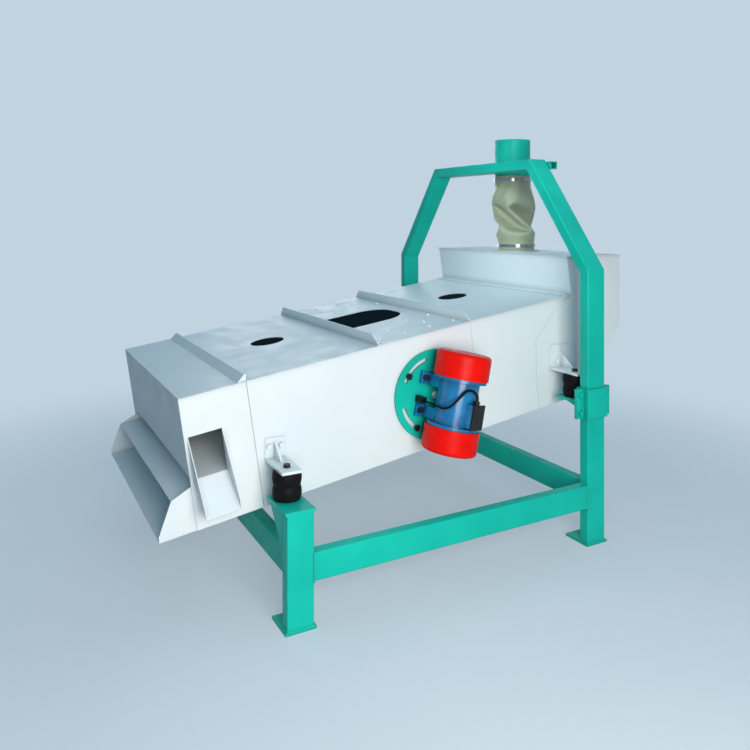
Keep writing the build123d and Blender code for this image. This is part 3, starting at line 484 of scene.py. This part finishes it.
class Materials:
    """Makes each finish once and puts it on the CAD nodes."""

    def __init__(self) -> None:
        self.made: Dict[Finish, Material] = {}
        self.special: Dict[Finish, Callable[[], Material]] = {
            Finish.CANVAS: self.canvas,
            Finish.WOOD: self.wood,
            Finish.FLOOR: self.pale_floor,
        }

    def get(self, finish: Finish) -> Material:
        """Gives the material of a finish.

        Args:
            finish: which one.

        Returns:
            The material, made on first use.
        """
        if finish not in self.made:
            maker = self.special.get(finish)
            self.made[finish] = maker() if maker else self.coated(finish.value, SURFACES[finish])
        return self.made[finish]

    @staticmethod
    def coated(name: str, look: Surface) -> Material:
        """Makes paint, metal, rubber or plastic.

        Args:
            name: the material's name.
            look: its values.

        Returns:
            The material.
        """
        graph = Graph(name)
        patches = graph.spread(graph.noise(look.mottle), 0.0, 1.0)
        colour = graph.mix(patches, look.colour, look.shade)
        # Painted shade: the corners that ambient occlusion finds are darkened towards a shaded colour.
        if look.corner_shade > 0:
            corner = graph.add("ShaderNodeAmbientOcclusion", {"Distance": look.corner_shade_reach},
                               samples=graph.corner_samples)
            colour = graph.mix(corner.outputs["AO"], look.corner_shade_colour, colour)
        if look.wear > 0:
            worn = graph.rubbed_edges(look.edge * look.wear_reach, look.wear)
            colour = graph.mix(worn, colour, look.rubbed)
        rough = graph.spread(graph.noise(look.mottle * look.rough_mottle), look.roughness - look.spread,
                             look.roughness + look.spread)
        graph.set({
            "Base Color": colour, "Roughness": rough, "Metallic": look.metallic,
            "Specular IOR Level": look.gloss, "IOR": look.index,
            "Coat Weight": look.coat, "Coat Roughness": look.coat_roughness})
        graph.normal(graph.noise(look.grain, detail=2.0), look.bump, look.depth, look.edge, look.swell)
        return graph.material

    @staticmethod
    def canvas() -> Material:
        """Makes woven olive canvas with a sewn seam, both laid out on the flat cloth.

        Returns:
            The material.
        """
        look = Canvas()
        graph = Graph(Finish.CANVAS.value)
        flat = graph.add("ShaderNodeTexCoord").outputs["UV"]
        patches = graph.spread(graph.noise(look.mottle, detail=4.0), 0.0, 1.0)
        colour = graph.mix(patches, look.colour, look.shade)
        weft = graph.wave(flat, "Y", look.weave, look.stray)
        warp = graph.wave(flat, "X", look.weave, look.stray)
        weave = graph.math("MULTIPLY", weft, warp)
        fibre = graph.mix(weave, look.gap, colour)
        across = graph.add("ShaderNodeSeparateXYZ", {"Vector": flat}).outputs["X"]
        line = graph.math("COMPARE", across, look.seam_at, look.seam_half)
        stitch = graph.math("GREATER_THAN", graph.wave(flat, "Y", look.stitches), look.stitch_level)
        thread = graph.math("MULTIPLY", line, stitch)
        graph.set({
            "Base Color": graph.mix(thread, fibre, look.thread),
            "Roughness": graph.spread(graph.noise(look.rough_mottle), *look.roughness),
            "Sheen Weight": look.sheen})
        lap = graph.math("LESS_THAN", across, look.lap)
        height = graph.math("ADD", weave, graph.math("ADD", thread, lap))
        graph.normal(height, look.bump, look.depth)
        return graph.material

    @staticmethod
    def wood() -> Material:
        """Makes the plain wood of the screen frames.

        Returns:
            The material.
        """
        look = Wood()
        graph = Graph(Finish.WOOD.value)
        rings = graph.wave(graph.place, "Y", look.rings, look.stray)
        graph.set({
            "Base Color": graph.mix(rings, look.colour, look.shade),
            "Roughness": graph.spread(graph.noise(look.rough_mottle), *look.roughness)})
        graph.normal(rings, look.bump, look.depth, look.edge)
        return graph.material

    @staticmethod
    def pale_floor() -> Material:
        """Makes the plain pale floor, which fades into the background away from the object.

        Returns:
            The material.
        """
        look = PaleFloor()
        graph = Graph(Finish.FLOOR.value)
        reach = graph.add("ShaderNodeVectorMath", {0: graph.place}, operation="LENGTH")
        away = graph.ramp(reach.outputs["Value"], look.fade_from, look.fade_to, curve="SMOOTHSTEP")
        near = graph.mix(graph.spread(graph.noise(look.mottle), 0.0, 1.0), look.colour, look.shade)
        rays = graph.add("ShaderNodeLightPath")
        seen = graph.math("MAXIMUM", rays.outputs["Is Camera Ray"], rays.outputs["Is Glossy Ray"])
        graph.set({
            "Base Color": graph.mix(away, near, BLACK), "Roughness": look.roughness,
            "Specular IOR Level": 0.0, "Emission Color": graph.mix(away, look.glow, BACKGROUND),
            "Emission Strength": seen})
        return graph.material

    def dress(self, nodes: Dict[str, Piece]) -> None:
        """Puts its finish on every CAD node.

        Args:
            nodes: the CAD nodes by name.
        """
        for finish, names in NODE_FINISH.items():
            for name in names:
                slots = nodes[name].data.materials
                slots.clear()
                slots.append(self.get(finish))
                LOG.info("%s: %s", name, finish.value)


def on_box(point: Sequence[float]) -> Vector:
    """Places a point of the level sieve box, in metres from its middle, at the slope of the box."""
    return BOX_MIDDLE + Matrix.Rotation(-BOX_TILT, 3, "Y") @ Vector(point)


def eased(share: float) -> float:
    """Goes smoothly from 0 to 1 with a share, and stays there outside that range."""
    held = min(1.0, max(0.0, share))
    return held * held * (3 - 2 * held)


def mesh_piece(name: str, mesh: bpy.types.Mesh, material: Material) -> Piece:
    """Adds a mesh to the scene at the origin.

    Args:
        name: the piece's name.
        mesh: its mesh, in metres.
        material: its finish.

    Returns:
        The new object.
    """
    piece = bpy.data.objects.new(name, mesh)
    bpy.context.scene.collection.objects.link(piece)
    mesh.materials.clear()
    mesh.materials.append(material)
    return piece


def settle(piece: Piece) -> None:
    """Turns what a piece's modifiers make into its plain smooth mesh.

    Args:
        piece: the piece, which has no modifier afterwards.
    """
    graph = bpy.context.evaluated_depsgraph_get()
    mesh = bpy.data.meshes.new_from_object(piece.evaluated_get(graph))
    old = piece.data
    piece.modifiers.clear()
    piece.vertex_groups.clear()
    piece.data = mesh
    bpy.data.meshes.remove(old)
    for polygon in mesh.polygons:
        polygon.use_smooth = True


@dataclass
class ClothSleeve:
    """The canvas sleeve between the feed pipe and the hopper, clamped at both ends and left slack.

    Args:
        lower: centre of the lower end.
        upper: centre of the upper end.
        free_low: where the loose cloth starts, above the lower clamp.
        free_high: where the loose cloth ends, below the upper clamp.
        cuff_radius: radius under the clamps.
        lower_radius: radius of the cut cloth above the lower clamp.
        upper_radius: radius of the cut cloth below the upper clamp.
        lower_cuff: height of the lower clamped part.
        upper_cuff: height of the upper clamped part.
        lower_flare: height over which the cloth widens above the lower cuff.
        upper_flare: height over which it narrows below the upper cuff.
        slack: length of cloth beyond the distance that it spans.
        ripples: each ripple's size, waves round the tube, turn for each metre up and start.
        ripple_flare: widening over which the ripples set in.
        twist: how far the upper end is turned when it is clamped.
        around: points around.
        along: rows of points.
        frames: steps of the simulation.
        quick_frames: steps of a quick trial; not used.
        arrival: share of the steps that the upper end takes to come down.
        quality: substeps of the simulation.
        mass: mass of a point.
        tension: stiffness of the canvas against stretching and pressing.
        shear: stiffness of the canvas against shearing.
        bending: stiffness of the canvas against folding.
        air: how far the air slows the cloth.
        weight: share of gravity that acts while it folds.
        thickness: distance that the folds keep from each other.
    """

    lower: Vector = field(default_factory=lambda: Vector((0.905, 0.0, 1.2405)))
    upper: Vector = field(default_factory=lambda: Vector((0.878, 0.0, 1.640)))
    free_low: Point = (0.905, 0.0, 1.287)
    free_high: Point = (0.878, 0.0, 1.596)
    cuff_radius: float = 0.0972
    lower_radius: float = 0.113
    upper_radius: float = 0.105
    lower_cuff: float = 0.046
    upper_cuff: float = 0.044
    lower_flare: float = 0.05
    upper_flare: float = 0.09
    slack: float = 0.060
    ripples: Tuple[Tuple[float, int, float, float], ...] = ((0.0014, 4, 9.0, 0.0), (0.0009, 3, -14.0, 1.3))
    ripple_flare: float = 0.004
    twist: float = -0.65
    around: int = 80
    along: int = 48
    frames: int = 50
    quick_frames: int = 2
    arrival: float = 0.6
    quality: int = 8
    mass: float = 0.4
    tension: float = 30.0
    shear: float = 12.0
    bending: float = 45.0
    air: float = 2.0
    weight: float = 0.075
    thickness: float = 0.003

    @property
    def cut(self) -> Tuple[float, float]:
        """Width and length of the flat cloth, in metres."""
        return (math.pi * (self.lower_radius + self.upper_radius), self.span + self.slack)

    @property
    def span(self) -> float:
        """Height between the two ends."""
        return self.upper.z - self.lower.z

    def radius_at(self, height: float) -> float:
        """Radius of the unclamped tube.

        Args:
            height: height above the lower end.

        Returns:
            The radius in metres.
        """
        total = self.cut[1]
        rise = eased((height - self.lower_cuff) / self.lower_flare)
        fall = eased((total - self.upper_cuff - height) / self.upper_flare)
        free = self.lower_radius + (self.upper_radius - self.lower_radius) * height / total
        return self.cuff_radius + (free - self.cuff_radius) * min(rise, fall)

    def middle_at(self, height: float) -> Vector:
        """Middle of the unclamped tube at a height above its lower end."""
        lean = (self.upper - self.lower) * (height / self.cut[1])
        return Vector((self.lower.x + lean.x, self.lower.y, self.lower.z + height))

    def start_points(self) -> List[Vector]:
        """Points of the tube before it is clamped.

        Returns:
            The points, row by row from the bottom up.
        """
        points: List[Vector] = []
        for row in range(self.along + 1):
            height = self.cut[1] * row / self.along
            radius = self.radius_at(height)
            flare = min(1.0, (radius - self.cuff_radius) / self.ripple_flare)
            for step in range(self.around):
                angle = 2 * math.pi * step / self.around
                ripple = sum(size * math.sin(waves * angle + turn * height + start)
                             for size, waves, turn, start in self.ripples)
                reach = radius + ripple * flare
                offset = Vector((reach * math.cos(angle), reach * math.sin(angle), 0.0))
                points.append(self.middle_at(height) + offset)
        return points

    def clamped(self, point: Vector) -> Vector:
        """Where a point of the upper cuff goes as the sleeve is clamped.

        Args:
            point: its place before.

        Returns:
            Its place after.
        """
        lean = (self.upper - self.lower) * ((point.z - self.lower.z) / self.cut[1])
        centre = Vector((self.lower.x + lean.x, self.lower.y, point.z))
        turned = Matrix.Rotation(self.twist, 3, "Z") @ (point - centre)
        return Vector((self.upper.x, self.upper.y, point.z - self.slack)) + turned

    def build(self, material: Material) -> Piece:
        """Makes the sleeve and lets it fold.

        Args:
            material: its finish.

        Returns:
            The finished piece.
        """
        faces = []
        for row in range(self.along):
            low = row * self.around
            high = low + self.around
            for step in range(self.around):
                after = (step + 1) % self.around
                faces.append((low + step, low + after, high + after, high + step))
        mesh = bpy.data.meshes.new("inlet_sleeve_cloth")
        mesh.from_pydata([tuple(point) for point in self.start_points()], [], faces)
        self.lay_out(mesh)
        piece = mesh_piece("inlet_sleeve_cloth", mesh, material)
        self.clamp(piece)
        self.fold(piece, self.frames)
        return piece

    def lay_out(self, mesh: bpy.types.Mesh) -> None:
        """Writes where each corner lay on the flat cloth, in metres, so that the weave follows the folds.

        Args:
            mesh: the tube's mesh.
        """
        width, length = self.cut
        layer = mesh.uv_layers.new(name="flat_cloth")
        for polygon in mesh.polygons:
            row, step = divmod(polygon.index, self.around)
            corners = ((step, row), (step + 1, row), (step + 1, row + 1), (step, row + 1))
            for loop, (across, up) in zip(polygon.loop_indices, corners):
                layer.data[loop].uv = (width * across / self.around, length * up / self.along)

    def clamp(self, piece: Piece) -> None:
        """Pins both cuffs and gives the tube the shape key that it comes down to.

        Args:
            piece: the tube.
        """
        total = self.cut[1]
        top = total - self.upper_cuff
        loose = total - self.lower_cuff - self.upper_cuff
        heights = [vertex.co.z - self.lower.z for vertex in piece.data.vertices]
        held = [index for index, height in enumerate(heights) if height < self.lower_cuff or height > top]
        pins = piece.vertex_groups.new(name="pins")
        pins.add(held, 1.0, "REPLACE")
        piece.shape_key_add(name="Basis")
        target = piece.shape_key_add(name="Clamped")
        for vertex, height in zip(piece.data.vertices, heights):
            if height >= self.lower_cuff:
                share = 1.0 if height > top else (height - self.lower_cuff) / loose
                target.data[vertex.index].co = vertex.co.lerp(self.clamped(vertex.co), share)

    def fold(self, piece: Piece, frames: int) -> None:
        """Runs the cloth while the upper cuff comes down and turns.

        Args:
            piece: the tube.
            frames: number of steps.
        """
        target = piece.data.shape_keys.key_blocks["Clamped"]
        target.value = 0.0
        target.keyframe_insert("value", frame=1)
        target.value = 1.0
        target.keyframe_insert("value", frame=max(2, int(frames * self.arrival)))
        cloth = piece.modifiers.new("cloth", "CLOTH")
        settings = cloth.settings
        settings.quality = self.quality
        settings.mass = self.mass
        settings.tension_stiffness = self.tension
        settings.compression_stiffness = self.tension
        settings.shear_stiffness = self.shear
        settings.bending_stiffness = self.bending
        settings.air_damping = self.air
        settings.vertex_group_mass = "pins"
        settings.pin_stiffness = 1.0
        settings.effector_weights.gravity = self.weight
        cloth.collision_settings.use_self_collision = True
        cloth.collision_settings.self_distance_min = self.thickness
        cloth.point_cache.frame_start = 1
        cloth.point_cache.frame_end = frames
        scene = bpy.context.scene
        for frame in range(1, frames + 1):
            scene.frame_set(frame)
        settle(piece)
        scene.frame_set(1)


@dataclass(frozen=True)
class Lamp:
    """One soft area light.

    Args:
        name: the light's name.
        place: where it is.
        aim: the point that it looks at.
        size: width in metres.
        power: watts.
        colour: its tint.
        spread: angle that its light fans out to, in degrees.
    """

    name: str
    place: Point
    aim: Point
    size: float
    power: float
    colour: Colour
    spread: float = 180.0

    def build(self) -> None:
        """Adds the light to the scene."""
        data = bpy.data.lights.new(self.name, "AREA")
        data.size = self.size
        data.spread = math.radians(self.spread)
        data.energy = self.power
        data.color = self.colour
        lamp = bpy.data.objects.new(self.name, data)
        lamp.location = self.place
        lamp.rotation_euler = (Vector(self.aim) - Vector(self.place)).to_track_quat("-Z", "Y").to_euler()
        bpy.context.scene.collection.objects.link(lamp)


LAMPS: Tuple[Lamp, ...] = (
    Lamp("key", (-0.95, -3.5, 1.25), (-0.45, -0.5, 0.7), 1.7, 91.0, (1.0, 0.955, 0.925)),
    Lamp("top", (0.2, -0.4, 4.6), (0.0, 0.0, 0.7), 3.2, 18.0, (0.78, 0.95, 1.0)),
    Lamp("left", (-2.3, -1.2, 3.1), (0.93, -0.1, 1.32), 0.7, 1.5, (0.84, 0.96, 1.0), spread=24.0),
    Lamp("back", (1.6, 4.8, 2.2), (0.2, 0.0, 0.8), 2.8, 60.0, (0.92, 0.97, 1.0)),
)


@dataclass
class Studio:
    """The camera at the photograph's place, a pale floor and soft light.

    Args:
        materials: the finishes.
        camera_place: where the camera is.
        camera_turn: its turn about the upright axis, in degrees.
        lens: focal length in millimetres.
        sensor: width of the sensor in millimetres.
        shift: how far the lens is shifted, in widths of the sensor.
        sight: how far the camera sees, in metres.
        floor_half: half the width of the floor, in metres.
        glow: strength of the light from all round.
        horizon: its colour low down.
        zenith: its colour overhead.
        fade_from: rise of the way looked at where the horizon's colour starts to fade.
        fade_to: rise at which it is the overhead colour.
    """

    materials: Materials
    camera_place: Point = (-1.6393, -3.05664, 1.42)
    camera_turn: float = -28.55
    lens: float = 34.296
    sensor: float = 36.0
    shift: Tuple[float, float] = (0.0007, -0.2105)
    sight: float = 100.0
    floor_half: float = 60.0
    glow: float = 0.43
    horizon: Colour = (0.31, 0.56, 0.75)
    zenith: Colour = (0.27, 0.50, 0.68)
    fade_from: float = 0.05
    fade_to: float = 0.85

    def build(self) -> None:
        """Sets up everything round the object."""
        self.camera()
        self.floor()
        for lamp in LAMPS:
            lamp.build()
        self.surround()
        bpy.context.scene.view_settings.view_transform = "Standard"

    def camera(self) -> None:
        """Adds the level camera with its shifted lens."""
        data = bpy.data.cameras.new("camera")
        data.sensor_width = self.sensor
        data.lens = self.lens
        data.shift_x, data.shift_y = self.shift
        data.clip_end = self.sight
        camera = bpy.data.objects.new("camera", data)
        camera.location = self.camera_place
        camera.rotation_euler = (math.radians(90.0), 0.0, math.radians(self.camera_turn))
        bpy.context.scene.collection.objects.link(camera)
        bpy.context.scene.camera = camera

    def floor(self) -> None:
        """Adds a flat floor that reaches past what the camera sees."""
        mesh = bpy.data.meshes.new("floor")
        half = self.floor_half
        corners = [(-half, -half, 0), (half, -half, 0), (half, half, 0), (-half, half, 0)]
        mesh.from_pydata(corners, [], [(0, 1, 2, 3)])
        mesh_piece("floor", mesh, self.materials.get(Finish.FLOOR))

    def surround(self) -> None:
        """Adds a soft surround, dimmer overhead, that is seen as a plain pale background."""
        world = bpy.data.worlds.new("surround")
        world.use_nodes = True
        nodes = Nodes(world.node_tree)
        way = nodes.add("ShaderNodeTexCoord").outputs["Generated"]
        rise = nodes.add("ShaderNodeSeparateXYZ", {"Vector": way}).outputs["Z"]
        fade = nodes.ramp(rise, self.fade_from, self.fade_to)
        lit = world.node_tree.nodes["Background"]
        nodes.fill(lit, {"Color": nodes.mix(fade, self.horizon, self.zenith), "Strength": self.glow})
        plain = nodes.add("ShaderNodeBackground", {"Color": BACKGROUND})
        rays = nodes.add("ShaderNodeLightPath")
        seen = nodes.math("MAXIMUM", rays.outputs["Is Camera Ray"], rays.outputs["Is Glossy Ray"])
        seen = nodes.math("MAXIMUM", seen, rays.outputs["Is Transmission Ray"])
        pick = nodes.add("ShaderNodeMixShader", {
            "Fac": seen, 1: lit.outputs["Background"], 2: plain.outputs["Background"]})
        nodes.link(pick.outputs["Shader"], world.node_tree.nodes["World Output"].inputs["Surface"])
        bpy.context.scene.world = world


class GeometryGroup(Nodes):
    """A geometry node group whose sizes are named inputs.

    Args:
        name: the group's name.
        sizes: each input's name with its value, a number, a whole number or three numbers.
    """

    def __init__(self, name: str, sizes: Dict[str, object]) -> None:
        super().__init__(bpy.data.node_groups.new(name, "GeometryNodeTree"))
        self.sizes = sizes
        self.keys: Dict[str, str] = {}
        sockets = self.tree.interface
        sockets.new_socket("Geometry", in_out="INPUT", socket_type="NodeSocketGeometry")
        for label, value in sizes.items():
            socket = sockets.new_socket(label, in_out="INPUT", socket_type=self.kind(value))
            self.keys[label] = socket.identifier
        sockets.new_socket("Geometry", in_out="OUTPUT", socket_type="NodeSocketGeometry")
        self.source = self.add("NodeGroupInput")
        self.sink = self.add("NodeGroupOutput")

    @staticmethod
    def kind(value: object) -> str:
        """The socket type that holds a value.

        Args:
            value: a number, a whole number or three numbers.

        Returns:
            The type's name.
        """
        if isinstance(value, tuple):
            return "NodeSocketVector"
        return "NodeSocketInt" if isinstance(value, int) else "NodeSocketFloat"

    def size(self, label: str) -> Socket:
        """The socket inside the group that gives a named size."""
        return self.source.outputs[label]

    def finish(self, last: Socket, material: Material) -> None:
        """Ends the group: real mesh, with its material.

        Args:
            last: the socket that holds the instances.
            material: the finish to set.
        """
        real = self.add("GeometryNodeRealizeInstances", {"Geometry": last})
        paint = self.add("GeometryNodeSetMaterial", {
            "Geometry": real.outputs["Geometry"], "Material": material})
        self.link(paint.outputs["Geometry"], self.sink.inputs["Geometry"])

    def apply(self, piece: Piece, material: Material) -> Piece:
        """Runs the group on a piece and leaves the result as its plain mesh.

        Args:
            piece: the piece, whose mesh holds the points or lines.
            material: its finish.

        Returns:
            The same piece, with no modifier left.
        """
        modifier = piece.modifiers.new(self.tree.name, "NODES")
        modifier.node_group = self.tree
        for label, value in self.sizes.items():
            modifier[self.keys[label]] = value
        bpy.context.view_layer.update()
        settle(piece)
        piece.data.materials.clear()
        piece.data.materials.append(material)
        return piece


@dataclass
class BoltField:
    """Domed bolts with washers on the middle cover, set out by Geometry Nodes.

    Args:
        rows: each row's distance from the middle, first place along the box, pitch and count.
        head_radius: radius of the dome.
        head_height: height of the dome.
        head_segments: facets round the dome.
        head_rings: facets from the top of the dome's ball to its bottom.
        washer_radius: radius of the washer.
        washer_height: thickness of the washer.
        washer_sides: facets round the washer.
    """

    rows: Tuple[Tuple[float, float, float, int], ...] = (
        (0.457, -0.1795, 0.125, 4), (0.250, -0.161, 0.120, 4), (0.3535, -0.077, 0.184, 2))
    head_radius: float = 0.0075
    head_height: float = 0.0045
    head_segments: int = 20
    head_rings: int = 10
    washer_radius: float = 0.0102
    washer_height: float = 0.0015
    washer_sides: int = 24

    def places(self) -> List[Vector]:
        """Bolt places in the machine's frame.

        Returns:
            One point for each bolt, on the cover.
        """
        found: List[Vector] = []
        for across, first, pitch, count in self.rows:
            for step in range(count):
                for side in (-1.0, 1.0):
                    found.append(on_box((first + pitch * step, across * side, BOX_TOP)))
        return found

    def build(self, material: Material) -> Piece:
        """Makes all the bolts as one plain mesh.

        Args:
            material: their finish.

        Returns:
            The piece.
        """
        mesh = bpy.data.meshes.new("cover_bolt_heads")
        mesh.from_pydata([tuple(place) for place in self.places()], [], [])
        piece = mesh_piece("cover_bolt_heads", mesh, material)
        return self.group(material).apply(piece, material)

    def group(self, material: Material) -> GeometryGroup:
        """Makes the node group that puts a bolt on each point.

        Args:
            material: the bolts' finish.

        Returns:
            The node group.
        """
        group = GeometryGroup("bolt_field", {
            "Head Radius": self.head_radius,
            "Head Flatness": self.head_height / self.head_radius,
            "Washer Radius": self.washer_radius,
            "Washer Height": self.washer_height,
            "Lean": (0.0, -BOX_TILT, 0.0)})
        size = group.size
        dome = group.add("GeometryNodeMeshUVSphere", {
            "Segments": self.head_segments, "Rings": self.head_rings, "Radius": size("Head Radius")})
        squash = group.add("ShaderNodeCombineXYZ", {"X": 1.0, "Y": 1.0, "Z": size("Head Flatness")})
        raised = group.add("ShaderNodeCombineXYZ", {"Z": size("Washer Height")}).outputs["Vector"]
        flat = group.add("GeometryNodeTransform", {
            "Geometry": dome.outputs["Mesh"], "Scale": squash.outputs["Vector"], "Translation": raised})
        washer = group.add("GeometryNodeMeshCylinder", {
            "Vertices": self.washer_sides, "Radius": size("Washer Radius"), "Depth": size("Washer Height")})
        half = group.add("ShaderNodeVectorMath", {0: raised, "Scale": 0.5}, operation="SCALE")
        lift = group.add("GeometryNodeTransform", {
            "Geometry": washer.outputs["Mesh"], "Translation": half.outputs["Vector"]})
        join = group.add("GeometryNodeJoinGeometry", {"Geometry": flat.outputs["Geometry"]})
        group.link(lift.outputs["Geometry"], join.inputs["Geometry"])
        turn = group.add("FunctionNodeEulerToRotation", {"Euler": size("Lean")})
        spread = group.add("GeometryNodeInstanceOnPoints", {
            "Points": group.source.outputs["Geometry"], "Instance": join.outputs["Geometry"],
            "Rotation": turn.outputs["Rotation"]})
        group.finish(spread.outputs["Instances"], material)
        return group


@dataclass
class WeldBeads:
    """Weld beads along the joints of the tube frame, laid by Geometry Nodes.

    Args:
        leg_x: distance of the legs from the middle.
        outer_y: outer face of the frame.
        tube_width: wide side of the tube.
        tube_depth: narrow side of the tube.
        rail_low: underside of the rails.
        rail_high: top of the rails.
        foot_top: top of the foot plates.
        pitch: distance between the ripples of a bead.
        radius: radius of a bead.
        roundness: how often the facets of a ripple are split.
        unevenness: how far the ripples differ in size.
        seed: the seed of that difference.
    """

    leg_x: float = 0.692
    outer_y: float = 0.790
    tube_width: float = 0.100
    tube_depth: float = 0.050
    rail_low: float = 0.160
    rail_high: float = 0.260
    foot_top: float = 0.010
    pitch: float = 0.0045
    radius: float = 0.0034
    roundness: int = 2
    unevenness: float = 0.12
    seed: int = 7

    def rings(self) -> List[List[Point]]:
        """Closed joint lines: rails on legs and posts, and legs and posts on their foot plates.

        Returns:
            One ring of corners for each joint.
        """
        half, deep = self.tube_width / 2, self.tube_depth / 2
        low, high = self.rail_low, self.rail_high
        outer, inner = self.outer_y, self.outer_y - self.tube_depth
        side_rail = ((outer, low), (inner, low), (inner, high), (outer, high))
        cross_rail = ((-deep, low), (deep, low), (deep, high), (-deep, high))
        foot = ((-half, outer), (half, outer), (half, inner), (-half, inner))
        found: List[List[Point]] = []
        for side in (-1.0, 1.0):
            for end in (-1.0, 1.0):
                face_x, leg_x = end * (self.leg_x - half), end * self.leg_x
                found.append([(face_x, side * across, up) for across, up in side_rail])
                found.append([(leg_x + along, side * inner, up) for along, up in cross_rail])
                found.append([(leg_x + along, side * across, self.foot_top) for along, across in foot])
        return found

    def build(self, material: Material) -> Piece:
        """Makes all the beads as one plain mesh.

        Args:
            material: their finish.

        Returns:
            The piece.
        """
        points: List[Point] = []
        edges: List[Tuple[int, int]] = []
        for ring in self.rings():
            start = len(points)
            points.extend(ring)
            edges.extend((start + step, start + (step + 1) % len(ring)) for step in range(len(ring)))
        mesh = bpy.data.meshes.new("weld_beads")
        mesh.from_pydata(points, edges, [])
        piece = mesh_piece("weld_beads", mesh, material)
        return self.group(material).apply(piece, material)

    def group(self, material: Material) -> GeometryGroup:
        """Makes the node group that lays ripples along each line.

        Args:
            material: the beads' finish.

        Returns:
            The node group.
        """
        group = GeometryGroup("weld_beads", {
            "Ripple Pitch": self.pitch,
            "Bead Radius": self.radius,
            "Least Size": 1.0 - self.unevenness,
            "Most Size": 1.0 + self.unevenness,
            "Seed": self.seed})
        size = group.size
        line = group.add("GeometryNodeMeshToCurve", {"Mesh": group.source.outputs["Geometry"]})
        even = group.add("GeometryNodeResampleCurve", {
            "Curve": line.outputs["Curve"], "Length": size("Ripple Pitch")}, mode="LENGTH")
        drop = group.add("GeometryNodeMeshIcoSphere", {
            "Subdivisions": self.roundness, "Radius": size("Bead Radius")})
        chance = group.add("FunctionNodeRandomValue", {
            RANDOM_LEAST: size("Least Size"), RANDOM_MOST: size("Most Size"), "Seed": size("Seed")},
            data_type="FLOAT")
        spread = group.add("GeometryNodeInstanceOnPoints", {
            "Points": even.outputs["Curve"], "Instance": drop.outputs["Mesh"],
            "Scale": chance.outputs[RANDOM_RESULT]})
        group.finish(spread.outputs["Instances"], material)
        return group


@dataclass
class Sieve:
    """The whole machine: its materials, its soft and repeated pieces, and the studio round it.

    Args:
        nodes: the CAD nodes by name.
        materials: the finishes.
    """

    nodes: Dict[str, Piece]
    materials: Materials = field(default_factory=Materials)

    def build(self) -> None:
        """Dresses the CAD nodes and adds the pieces that only the look needs."""
        self.materials.dress(self.nodes)
        for piece in (self.sleeve(), self.bolts(), self.welds()):
            LOG.info("%s: %d faces", piece.name, len(piece.data.polygons))
        Studio(self.materials).build()

    def sleeve(self) -> Piece:
        """Adds the cloth sleeve in place of its plain solid.

        Returns:
            The piece.
        """
        cloth = ClothSleeve()
        piece = cloth.build(self.materials.get(Finish.CANVAS))
        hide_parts("inlet_sleeve")
        cloth.cut
        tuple(cloth.free_high)
        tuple(cloth.free_low)
        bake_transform(piece)
        return piece

    def bolts(self) -> Piece:
        """Adds the domed bolts in place of their plain heads.

        Returns:
            The piece.
        """
        piece = BoltField().build(self.materials.get(Finish.CAP))
        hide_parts("cover_bolts")
        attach(piece, "sieve_box")
        return piece

    def welds(self) -> Piece:
        """Adds the weld beads of the frame.

        Returns:
            The piece.
        """
        piece = WeldBeads().build(self.materials.get(Finish.GREEN))
        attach(piece, "frame")
        return piece


def main() -> None:
    """Builds the scene."""
    logging.basicConfig(level=logging.INFO)
    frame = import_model()
    Sieve(frame["nodes"]).build()


if __name__ == "__main__":
    main()
